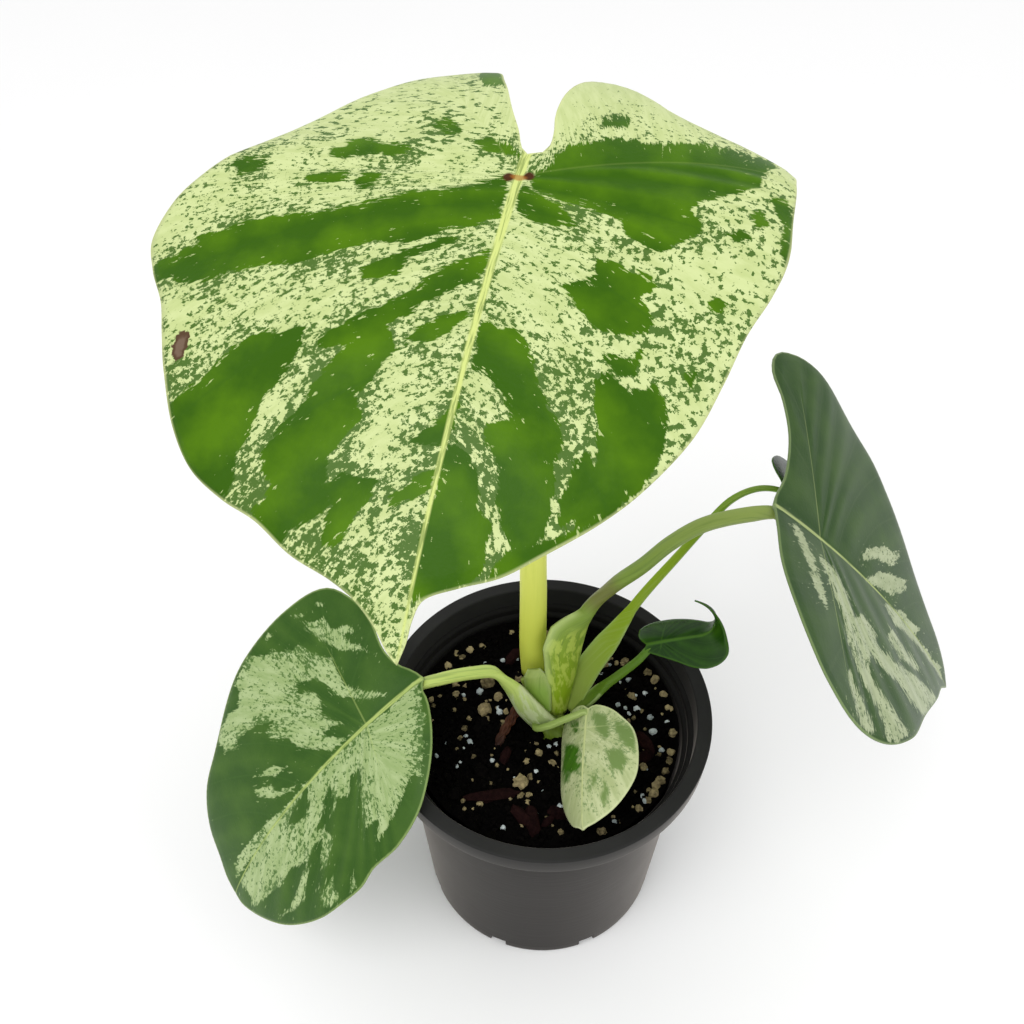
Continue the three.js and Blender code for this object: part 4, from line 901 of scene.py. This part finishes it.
BACK_PETIOLE = stalk_form(
    route=[(7.2, 0.6, 93), (12.6, 6.4, 106.2), (21.8, 14, 117), (30, 20.6, 127), (40.9, 26.5, 140.1),
           (48.8, 31, 149), (56.9, 34.6, 158.1), (64, 35.2, 162.2), (70, 34.8, 162.4), (75, 34.6, 159.4)],
    facing=(-0.4, -0.4, 0.75),
    sections=[(0, 3.4, 2.4, -0.4, 0), (0.13, 4.4, 2.5, -0.45, 0), (0.25, 3.9, 2.2, -0.4, 0),
              (0.38, 1.6, 1.3, 0.2, 0), (0.9, 0.9, 0.65, 0.8, 0), (1, 0.8, 0.5, 0.8, 0)], seed=13)
CURLED_PETIOLE = stalk_form(
    route=[(7.8, -1, 92.6), (12, -1, 99.5), (17.4, -0.4, 107.4), (22.6, 0.2, 113.6), (28.5, 1.2, 120.6),
           (31.4, 2.4, 124.4), (33.4, 2.8, 126.4)], facing=(-0.6, 0.1, 0.8),
    sections=[(0, 2.9, 2.0, -0.35, 0), (0.34, 2.6, 1.7, -0.3, 0), (0.5, 1.5, 1.3, 0.5, 0),
              (1, 1.1, 0.9, 0.5, 0)], end=0.98, seed=17)
FRONT_PETIOLE = stalk_form(
    route=[(-2.5, -4.5, 94.6), (-3, -8, 96.2), (0.2, -9, 98.6), (5, -8.4, 101), (9.5, -7.4, 102.6),
           (12.4, -6.9, 103.4), (14, -9, 102.8)], facing=(0.1, 0.3, 1),
    sections=[(0, 1.5, 1.0, 0.4, 0), (1, 0.9, 0.7, 0.5, 0)], seed=19)
STUB = stalk_form(
    route=[(-1.2, -1.6, 96.4), (-2.4, 1.8, 102.6), (-4, 5.4, 109.8)], facing=(0.2, 0.9, -0.3),
    sections=[(0, 3.2, 2.0, -0.4, 0), (0.5, 4.4, 2.2, -0.45, 0), (0.85, 3.6, 1.8, -0.4, 0),
              (1, 2.0, 1.0, -0.2, 0)], seed=23)
ROOT = stalk_form(
    route=[(-2, 3.4, 93.4), (-7.8, 3, 92.4), (-11.4, -0.6, 89), (-15, -6.4, 86.2), (-17, -9.6, 81)],
    facing=(0.2, 1, 0.2), sections=[(0, 1.5, 1.2, 1, 0), (1, 1.0, 0.7, 1, 0)], seed=29, ridges=0.35)


def unit(vectors):
    return vectors / np.linalg.norm(vectors, axis=-1, keepdims=True)


def stalk_axes(stalk, shares):
    """Centre line and the directions across and inward at shares of the length"""
    places = parameters_at(stalk["route"], shares)
    ahead = smooth_line(stalk["route"], places + TANGENT_NUDGE)
    behind = smooth_line(stalk["route"], places - TANGENT_NUDGE)
    tangent = unit(ahead - behind)
    turn = np.clip((shares - TURN_START) / (TURN_END - TURN_START), 0, 1)
    turn = (turn * turn * (3 - 2 * turn))[:, None]
    facing = np.array(stalk["facing"]) * (1 - turn) + np.array(stalk["facing_top"]) * turn
    across = unit(np.cross(tangent, facing))
    return smooth_line(stalk["route"], places), across, unit(np.cross(across, tangent))


def stalk_faces(rows, ring):
    faces = []
    for row in range(rows - 1):
        for k in range(ring):
            a, b = row * ring + k, row * ring + (k + 1) % ring
            faces.append((a, b, b + ring, a + ring))
    last = (rows - 1) * ring
    for k in range(SECTION_STEPS):
        opposite = ring - 1 - k
        faces.append((k, opposite, opposite - 1, k + 1))
        faces.append((last + k, last + k + 1, last + opposite - 1, last + opposite))
    return faces


def make_stalk(name, stalk, material, node):
    shares = np.linspace(0, stalk["end"], STALK_ROWS)
    centre, across, inward = stalk_axes(stalk, shares)
    table = np.array(stalk["sections"], float).T
    width, depth, channel, shift = (np.interp(shares, table[0], row)[:, None] for row in table[1:])
    centre = centre + across * shift
    angle = np.pi * np.arange(SECTION_STEPS + 1) / SECTION_STEPS
    wide = np.concatenate([np.cos(angle), np.cos(angle[::-1])])[None, :]
    deep = np.sin(angle)[None, :]
    x = width * wide
    y = np.hstack([-SHEATH_EDGE / 2 - depth * deep, SHEATH_EDGE / 2 + channel * depth * deep[:, ::-1]])
    rows, ring = x.shape
    round_about = np.arange(ring) / ring
    along = shares[:, None] * line_length(stalk["route"])[1][-1]
    ridge = np.sin(2 * math.pi * RIDGES * round_about + along * RIDGE_TWIST)
    ridge = 1 + stalk["ridges"] * ridge * np.sin(along * RIDGE_KNOTS)
    points = centre[:, None] + across[:, None] * (x * ridge)[..., None]
    points = points + inward[:, None] * (y * ridge)[..., None]
    steady = np.ones((rows, ring))
    round_skin = round_about * 2 * math.pi * width
    attributes = {
        "skin": np.stack([round_skin, along * steady, stalk["seed"] * steady], -1).reshape(-1, 3),
        "share": (shares[:, None] * steady).ravel(),
        "rim": (np.abs(wide) ** RIM_SHARPNESS * steady * (channel < 0)).ravel(),
    }
    add_piece(name, points.reshape(-1, 3), stalk_faces(rows, ring), material, node, attributes=attributes)


# Stalk markings, with grains and pairs as on the leaves

FOOT_TO_MIDDLE = (0.05, 0.4)     # shares of the length
MIDDLE_TO_TOP = (0.5, 0.95)
STRIPE_GRAIN = (0.9, 0.035, 4, 0.6)
STRIPE_LEVEL = (0.46, 0.68)
BLOTCH_GRAIN = (0.42, 0.16, 5, 0.6, (5, 2))
BLOTCH_LEVEL = (0.47, 0.56)
BLOTCH_STRENGTH = 0.8
BLOTCH_FADE = 0.05               # share of the length over which the blotches end
TINT_REACH = (0.09, 0.02)        # shares of the length from the tint's middle
TINT_STRENGTH = 0.55
RIM_STRENGTH = 0.8
STALK_SKIN = (2.2, 0.12, 3)
STALK_SKIN_DEPTH = 0.16


def stalk_material(name, foot, middle, top, stripe, stripe_share=0.5, mottle=None, mottle_end=0.0, rim=None,
                   gloss=(0.38, 0.52), tint=None):
    """mottle: blotches on the sheath, up to a share of the length. tint: a colour and the share of the
    length at its middle."""
    n = Nodes(name)
    skin, share = n.vector("skin"), n.number("share")
    colour = n.cover(linear(foot), middle, n.step(share, *FOOT_TO_MIDDLE))
    colour = n.cover(colour, top, n.step(share, *MIDDLE_TO_TOP))
    lines = n.grain(skin, *STRIPE_GRAIN)
    colour = n.cover(colour, stripe, n.step(lines, *STRIPE_LEVEL), stripe_share)
    if mottle:
        blotches = n.step(n.grain(skin, *BLOTCH_GRAIN), *BLOTCH_LEVEL)
        on_sheath = n.times(blotches, n.step(share, mottle_end, mottle_end - BLOTCH_FADE))
        colour = n.cover(colour, mottle, on_sheath, BLOTCH_STRENGTH)
    if tint:
        shade, place = tint
        away = n.math("ABSOLUTE", n.math("SUBTRACT", share, place), 0)
        colour = n.cover(colour, shade, n.step(away, *TINT_REACH), TINT_STRENGTH)
    if rim:
        colour = n.cover(colour, rim, n.number("rim"), RIM_STRENGTH)
    n.colour(colour)
    n.roughness(lines, *gloss)
    n.bump(n.grain(skin, *STALK_SKIN), STALK_SKIN_DEPTH)
    n.all_over({"Specular IOR Level": 0.3})
    return n.material


# Pot: the CAD's profile turned finely, with rounded corners

POT_SIDES = 192
POT_HEIGHT = 96
POT_RIM_RADIUS = 54.4
POT_MOUTH_RADIUS = 49.6
POT_NECK_RADIUS = 47.4
POT_FOOT_RADIUS = 42
POT_WALL = 1.6
POT_LIP_HEIGHT = 7.5
POT_LIP_FOOT = POT_HEIGHT - POT_LIP_HEIGHT
POT_BASE_RISE = 2.5
POT_CENTRE_PAD_RADIUS = 17
POT_FLOOR_TOP = POT_BASE_RISE + POT_WALL
POT_FOOT_RING = 6
POT_CORNER_REACH = 1.2
DRAIN_COUNT = 8
DRAIN_WIDTH = 6
DRAIN_LENGTH = 12
DRAIN_TOP = 4.6
DRAIN_CLEARANCE = 1.5            # the cuts run this far out past the foot, with a seam as far above them
CORNER_STEPS = 4
SHARP_ANGLE = 40                 # degrees
POT_WALL_TONES = ((20, 20, 20), (34, 33, 32))
# The lip's tones are lighter than the wall's: a painted highlight along the rim
POT_LIP_HIGHLIGHT_TONES = ((36, 36, 36), (52, 52, 51))
SMUDGE_CYCLES = 45               # in a metre
TURNING_CYCLES = (60, 60, 900)   # in a metre


def rounded(profile, radius):
    """The profile with each inner corner turned into a short curve"""
    line = [np.array(profile[0], float)]
    for before, corner, after in zip(profile, profile[1:], profile[2:]):
        before, corner, after = (np.array(p, float) for p in (before, corner, after))
        back, on = before - corner, after - corner
        reach = min(radius, 0.45 * np.linalg.norm(back), 0.45 * np.linalg.norm(on))
        start, stop = corner + unit(back) * reach, corner + unit(on) * reach
        for w in np.linspace(0, 1, CORNER_STEPS + 1):
            line.append((1 - w) ** 2 * start + 2 * w * (1 - w) * corner + w ** 2 * stop)
    line.append(np.array(profile[-1], float))
    return line


def turned(profile, sides):
    """Points and faces of a profile that starts and ends on the axis, turned round it"""
    angles = 2 * math.pi * np.arange(sides) / sides
    points = [(0, 0, profile[0][1])]
    for radius, height in profile[1:-1]:
        points += [(radius * math.cos(a), radius * math.sin(a), height) for a in angles]
    points.append((0, 0, profile[-1][1]))
    rings = len(profile) - 2
    last = len(points) - 1
    faces = []
    for k in range(sides):
        after = (k + 1) % sides
        faces.append((0, 1 + after, 1 + k))
        for ring in range(rings - 1):
            low, high = 1 + ring * sides, 1 + (ring + 1) * sides
            faces.append((low + k, low + after, high + after, high + k))
        top = 1 + (rings - 1) * sides
        faces.append((top + k, top + after, last))
    return points, faces


def drain_cutter():
    """Boxes across the foot's edge, one for each drain"""
    sides = ((0, 3, 2, 1), (4, 5, 6, 7), (0, 1, 5, 4), (1, 2, 6, 5), (2, 3, 7, 6), (3, 0, 4, 7))
    outer = POT_FOOT_RADIUS + DRAIN_CLEARANCE
    inner = outer - DRAIN_LENGTH
    points, faces = [], []
    for k in range(DRAIN_COUNT):
        angle = 2 * math.pi * (k + 0.5) / DRAIN_COUNT
        faces += [tuple(len(points) + corner for corner in side) for side in sides]
        for z in (-DRAIN_TOP, DRAIN_TOP):
            for x, y in ((inner, -0.5), (outer, -0.5), (outer, 0.5), (inner, 0.5)):
                y *= DRAIN_WIDTH
                turned_x = x * math.cos(angle) - y * math.sin(angle)
                turned_y = x * math.sin(angle) + y * math.cos(angle)
                points.append((turned_x * MM, turned_y * MM, z * MM))
    mesh = bpy.data.meshes.new("drains")
    mesh.from_pydata(points, [], faces)
    cutter = bpy.data.objects.new("drains", mesh)
    bpy.context.scene.collection.objects.link(cutter)
    return cutter


def pot_profile():
    neck_inside, foot_inside = POT_NECK_RADIUS - POT_WALL, POT_FOOT_RADIUS - POT_WALL
    ring_inside = POT_FOOT_RADIUS - POT_FOOT_RING
    taper = (POT_NECK_RADIUS - POT_FOOT_RADIUS) / (POT_LIP_FOOT - 1)
    above_drains = DRAIN_TOP + DRAIN_CLEARANCE
    seam = (POT_FOOT_RADIUS + taper * (above_drains - 1), above_drains)
    return [
        (0, 0), (POT_CENTRE_PAD_RADIUS, 0), (POT_CENTRE_PAD_RADIUS + 1, POT_BASE_RISE),
        (ring_inside - 1, POT_BASE_RISE), (ring_inside, 0), (POT_FOOT_RADIUS - 0.8, 0),
        (POT_FOOT_RADIUS, 1), seam, (POT_NECK_RADIUS, POT_LIP_FOOT), (POT_RIM_RADIUS - 1.6, POT_LIP_FOOT),
        (POT_RIM_RADIUS - 0.4, POT_LIP_FOOT + 0.3), (POT_RIM_RADIUS, POT_HEIGHT - 0.4),
        (POT_RIM_RADIUS - 0.5, POT_HEIGHT), (POT_MOUTH_RADIUS + 0.4, POT_HEIGHT),
        (POT_MOUTH_RADIUS, POT_HEIGHT - 0.5), (POT_MOUTH_RADIUS - 0.6, POT_LIP_FOOT - 2),
        (neck_inside, POT_LIP_FOOT - 3), (foot_inside, POT_FLOOR_TOP + 1), (foot_inside - 1, POT_FLOOR_TOP),
        (0, POT_FLOOR_TOP)]


def make_pot():
    points, faces = turned(rounded(pot_profile(), POT_CORNER_REACH), POT_SIDES)
    pot = add_piece("nursery_pot", points, faces, pot_material(), "pot")
    cutter = drain_cutter()
    cut = pot.modifiers.new("drains", "BOOLEAN")
    cut.object = cutter
    cut.operation = "DIFFERENCE"
    graph = bpy.context.evaluated_depsgraph_get()
    mesh = bpy.data.meshes.new_from_object(pot.evaluated_get(graph))
    pot.modifiers.clear()
    pot.data = mesh
    bpy.data.objects.remove(cutter)
    mesh.set_sharp_from_angle(angle=math.radians(SHARP_ANGLE))


def pot_material():
    n = Nodes("black_plastic")
    place = n.coordinates()
    smudge = n.noise(place, SMUDGE_CYCLES, 4)
    wall, lip_highlight = (n.mix(smudge, linear(low), linear(high)) for low, high in (POT_WALL_TONES, POT_LIP_HIGHLIGHT_TONES))
    # The lip takes the lighter tones, a painted highlight on the rim
    on_lip_highlight = n.step(n.axis(place, "Z"), (POT_LIP_FOOT - 0.2) * MM, (POT_LIP_FOOT + 0.4) * MM)
    n.colour(n.mix(on_lip_highlight, wall, lip_highlight))
    n.roughness(smudge, 0.3, 0.44)
    n.all_over({"Specular IOR Level": 0.03, "Sheen Weight": 0.34, "Sheen Roughness": 0.27,
                "Sheen Tint": (1, 0.9, 0.82, 1)})
    n.bump(n.noise(n.scaled(place, TURNING_CYCLES), 1, 3), 0.06, 0.4)
    return n.material


# Potting mix: an uneven bed, dark crumbs, and perlite, pumice and bark bits in it

SOIL_LEVEL = 85
SOIL_SWELL = 1.2
MOUND_HEIGHT = 1.6
MOUND_SPREAD = 16
MIX_TOP_RADIUS = 44.7
MIX_FOOT_RADIUS = 38.9
MIX_FOOT = POT_FLOOR_TOP + 0.3
MIX_RINGS = 56
MIX_SIDES = 150
CLOD_HEIGHT = 0.8
CLOD_CYCLES = 0.45               # in a mm
CLOD_NOISE = (0.6, 2.2, 4)       # roughness, lacunarity and octaves
BED_TONE = 0.3
CAD_BITS = 44
CRUMBS = 2600
SMALL_BITS = 140
BITS_REACH = MIX_TOP_RADIUS - 2.2
BIT_SINK = 0.25                  # a bit's centre lies above the bed by this share of its height
MIX_SEED = 5
CAD_SEED = 11
BARK_SHARE = 0.18
BARK_STRETCH = 2.2
DRAW_FACTOR = 1664525            # the CAD's seeded numbers
DRAW_STEP = 1013904223
DRAW_RANGE = 4294967296
LONG_BARK = (-17, -26.5, 9, 2.2, 1.6, 0.12, 0.02)  # place, size and angles of one more bit

# Bits seen in the photograph's 1024 x 1024 frame
PERLITE_SEEN = [
    (618, 704), (637, 708), (651, 715), (667, 722), (653, 731), (662, 748), (544, 792), (560, 805),
    (535, 814), (503, 826), (529, 824), (629, 678), (516, 658), (549, 746), (556, 744), (503, 660),
    (500, 712), (466, 735), (470, 742), (492, 758), (480, 690)]
PUMICE_SEEN = [
    (648, 671), (659, 676), (668, 692), (679, 705), (673, 733), (687, 735), (680, 751), (679, 762),
    (648, 756), (643, 765), (670, 772), (673, 785), (657, 783), (659, 794), (655, 803), (646, 814),
    (561, 831), (604, 835), (643, 744), (521, 794), (509, 796), (605, 665), (625, 660), (632, 697),
    (455, 650), (462, 655), (448, 665), (470, 648)]


def mix_height(x, y):
    ripple = np.sin(x * 0.31 + 1) * np.cos(y * 0.27) + 0.6 * np.sin(x * 0.12 - y * 0.43 + 2)
    mound = MOUND_HEIGHT * np.exp(-(x * x + y * y) / MOUND_SPREAD ** 2)
    return float(SOIL_LEVEL + SOIL_SWELL * 0.6 * ripple + mound)


def on_soil(seen):
    """Places in mm on the soil that show at frame pixels, kept inside the pot"""
    level = SOIL_LEVEL + 1
    rays = frame_rays(np.array(seen, float))
    eye = np.array(CAMERA_PLACE) / MM
    places = eye + rays * ((level - eye[2]) / rays[:, 2])[:, None]
    radius = np.hypot(places[:, 0], places[:, 1])
    return places[:, :2] * np.minimum(1, BITS_REACH / radius)[:, None]


def make_bed(material):
    """The bed's profile runs from the top's centre out and down, so its faces are turned over"""
    rings = [(MIX_TOP_RADIUS * ring / MIX_RINGS, SOIL_LEVEL) for ring in range(1, MIX_RINGS + 1)]
    profile = [(0, mix_height(0, 0)), *rings, (MIX_FOOT_RADIUS, MIX_FOOT), (0, MIX_FOOT)]
    points, faces = turned(profile, MIX_SIDES)
    for k in range(1, 1 + MIX_RINGS * MIX_SIDES):
        x, y, _ = points[k]
        clod = CLOD_HEIGHT * fractal(Vector((x * CLOD_CYCLES, y * CLOD_CYCLES, 3)), *CLOD_NOISE)
        points[k] = (x, y, mix_height(x, y) + clod)
    faces = [(face[0], *face[:0:-1]) for face in faces]
    add_piece("mix_bed", points, faces, material, "potting_mix", smooth=False,
              attributes={"tone": np.full(len(points), BED_TONE)})


def ball(subdivisions):
    """A unit icosphere's points and faces"""
    form = bmesh.new()
    bmesh.ops.create_icosphere(form, subdivisions=subdivisions, radius=1)
    form.verts.index_update()
    points = np.array([v.co[:] for v in form.verts])
    faces = np.array([[v.index for v in face.verts] for face in form.faces])
    form.free()
    return points, faces


def make_bits(name, bits, material, random, facets, rough):
    """bits: (x, y, length, width, height, turn, lean), each a broken lump that sits in the bed"""
    unit_points, unit_faces = ball(facets)
    points, faces, tones = [], [], []
    for k, (x, y, length, width, height, turn, lean) in enumerate(bits):
        lump = unit_points * (1 + rough * (random.random((len(unit_points), 1)) - 0.5))
        lump = lump * (length, width, height)
        up, level = math.sin(lean), math.cos(lean)
        lump = lump @ np.array([[1, 0, 0], [0, level, up], [0, -up, level]])
        sin, cos = math.sin(turn), math.cos(turn)
        lump = lump @ np.array([[cos, sin, 0], [-sin, cos, 0], [0, 0, 1]])
        points.append(lump + (x, y, mix_height(x, y) + BIT_SINK * height))
        faces.append(unit_faces + k * len(unit_points))
        tones.append(np.full(len(unit_points), random.random()))
    add_piece(name, np.concatenate(points), np.concatenate(faces).tolist(), material, "potting_mix",
              smooth=False, attributes={"tone": np.concatenate(tones)}, replaces=False)


def cad_bits():
    """The CAD's scattered bits, from the same seeded numbers"""
    state = CAD_SEED

    def draw():
        nonlocal state
        state = (state * DRAW_FACTOR + DRAW_STEP) % DRAW_RANGE
        return state / DRAW_RANGE

    bits = []
    for _ in range(CAD_BITS):
        radius = (MIX_TOP_RADIUS - 5) * math.sqrt(draw())
        angle = 2 * math.pi * draw()
        width = 1.2 + 1.3 * draw()
        is_bark = draw() < BARK_SHARE
        lean = 0.6 * draw()
        turn = 2 * math.pi * draw()
        length = width * (BARK_STRETCH if is_bark else 1)
        place = (radius * math.cos(angle), radius * math.sin(angle))
        bits.append((is_bark, (*place, length, width, 0.9 * width, turn, lean)))
    return bits


def small_bits(random, places, smallest, spread):
    bits = []
    for x, y in places:
        size = smallest + spread * random.random()
        stretch = 0.8 + 0.5 * random.random()
        bits.append((x, y, size * stretch, size, 0.8 * size, 6.28 * random.random(), 0.8 * random.random()))
    return bits


def scattered(random, count):
    radius = BITS_REACH * np.sqrt(random.random(count))
    angle = 2 * math.pi * random.random(count)
    return np.stack([radius * np.cos(angle), radius * np.sin(angle)], 1)


def bit_material(name, dark, light, cycles):
    """cycles: of the grain, in a metre"""
    n = Nodes(name)
    grain = n.noise(n.coordinates(), cycles, 4)
    contrast = n.scale_about(grain, 1.4, middle=0.3)
    shade = n.math("ADD", n.times(n.number("tone"), 0.6), contrast, clamp=True)
    n.colour(n.mix(shade, linear(dark), linear(light)))
    n.all_over({"Roughness": 0.9, "Specular IOR Level": 0.03})
    n.bump(grain, 0.5, 0.8)
    return n.material


def make_mix():
    random = np.random.default_rng(MIX_SEED)
    dark = bit_material("dark_mix", (0, 0, 0), (10, 8, 7), 900)
    make_bed(dark)
    crumbs = small_bits(random, scattered(random, CRUMBS), smallest=0.35, spread=0.75)
    make_bits("mix_crumbs", crumbs, dark, random, facets=1, rough=0.7)
    fixed = cad_bits()
    bark = [bit for is_bark, bit in fixed if is_bark] + [LONG_BARK]
    lumps = [bit for is_bark, bit in fixed if not is_bark]
    perlite = small_bits(random, on_soil(PERLITE_SEEN), smallest=0.8, spread=0.4)
    perlite += small_bits(random, scattered(random, SMALL_BITS // 3), smallest=0.35, spread=0.6)
    pumice = small_bits(random, on_soil(PUMICE_SEEN), smallest=1.1, spread=0.5)
    pumice += small_bits(random, scattered(random, SMALL_BITS), smallest=0.4, spread=0.8)
    white = bit_material("perlite", (110, 124, 128), (206, 214, 214), 700)
    tan = bit_material("pumice", (42, 36, 24), (172, 156, 116), 800)
    brown = bit_material("bark", (9, 4, 5), (36, 19, 18), 600)
    make_bits("mix_perlite", perlite, white, random, facets=2, rough=0.35)
    make_bits("mix_pumice", pumice + lumps[::4], tan, random, facets=2, rough=0.5)
    make_bits("mix_bark", bark, brown, random, facets=2, rough=0.3)
    make_bits("mix_lumps", lumps[1::4] + lumps[2::4] + lumps[3::4], dark, random, facets=2, rough=0.5)


# Assembly

LEAVES = [
    ("large_leaf", LARGE_LOOK, {"large": LARGE_LEAF}),
    ("left_leaf", LEFT_LOOK, {"left": LEFT_LEAF}),
    ("right_leaf", RIGHT_LOOK, {"right": RIGHT_LEAF}),
    ("dark_leaf", DARK_LOOK, {"back": BACK_LEAF, "curled": CURLED_LEAF}),
    ("front_leaf", FRONT_LOOK, {"front": FRONT_LEAF}),
]

# Piece, CAD node, form, name of the skin, and its colours from foot to top with that of its stripes
STALKS = [
    ("crown", "stem", STEM, "crown_skin", dict(
        foot=(52, 66, 16), middle=(104, 128, 40), top=(150, 172, 70), stripe=(70, 82, 28),
        stripe_share=0.6)),
    ("stalk_large", "petiole_large", LARGE_PETIOLE, "large_stalk", dict(
        foot=(206, 214, 84), middle=(232, 238, 118), top=(222, 230, 122), stripe=(206, 218, 92),
        stripe_share=0.35)),
    ("stalk_left", "petiole_left", LEFT_PETIOLE, "left_stalk", dict(
        foot=(150, 168, 108), middle=(184, 204, 106), top=(190, 206, 110), stripe=(116, 146, 70),
        stripe_share=0.6, mottle=(186, 198, 150), mottle_end=0.34, rim=(198, 206, 160))),
    ("stalk_right", "petiole_right", RIGHT_PETIOLE, "right_stalk", dict(
        foot=(138, 168, 28), middle=(126, 152, 60), top=(144, 162, 84), stripe=(96, 124, 52),
        stripe_share=0.6, mottle=(180, 198, 84), mottle_end=0.32, rim=(190, 208, 134),
        tint=((112, 94, 62), 0.42))),
    ("stalk_back", "petiole_back", BACK_PETIOLE, "back_stalk", dict(
        foot=(140, 160, 70), middle=(136, 166, 20), top=(96, 138, 16), stripe=(156, 178, 90),
        stripe_share=0.45, rim=(164, 190, 110))),
    ("stalk_curled", "petiole_curled", CURLED_PETIOLE, "curled_stalk", dict(
        foot=(112, 132, 58), middle=(84, 116, 26), top=(80, 118, 20), stripe=(70, 98, 26),
        rim=(140, 162, 96))),
    ("stalk_front", "petiole_front", FRONT_PETIOLE, "front_stalk", dict(
        foot=(120, 142, 62), middle=(150, 172, 92), top=(170, 190, 116), stripe=(110, 136, 62))),
    ("stub", "sheath_stub", STUB, "stub_skin", dict(
        foot=(120, 156, 50), middle=(128, 160, 62), top=(150, 168, 90), stripe=(96, 128, 44),
        rim=(184, 200, 134))),
    ("aerial_root", "root", ROOT, "root_skin", dict(
        foot=(44, 20, 12), middle=(70, 34, 12), top=(30, 14, 10), stripe=(26, 10, 10), stripe_share=0.8,
        gloss=(0.6, 0.8))),
]


def make_leaves():
    for material_name, look, forms in LEAVES:
        material = leaf_material(material_name, look)
        for name, leaf in forms.items():
            make_blade("leaf_" + name, leaf, material, "blade_" + name)


def make_stalks():
    for piece, node, stalk, skin, colours in STALKS:
        make_stalk(piece, stalk, stalk_material(skin, **colours), node)


make_camera()
make_studio()
make_floor()
make_leaves()
make_stalks()
make_pot()
make_mix()
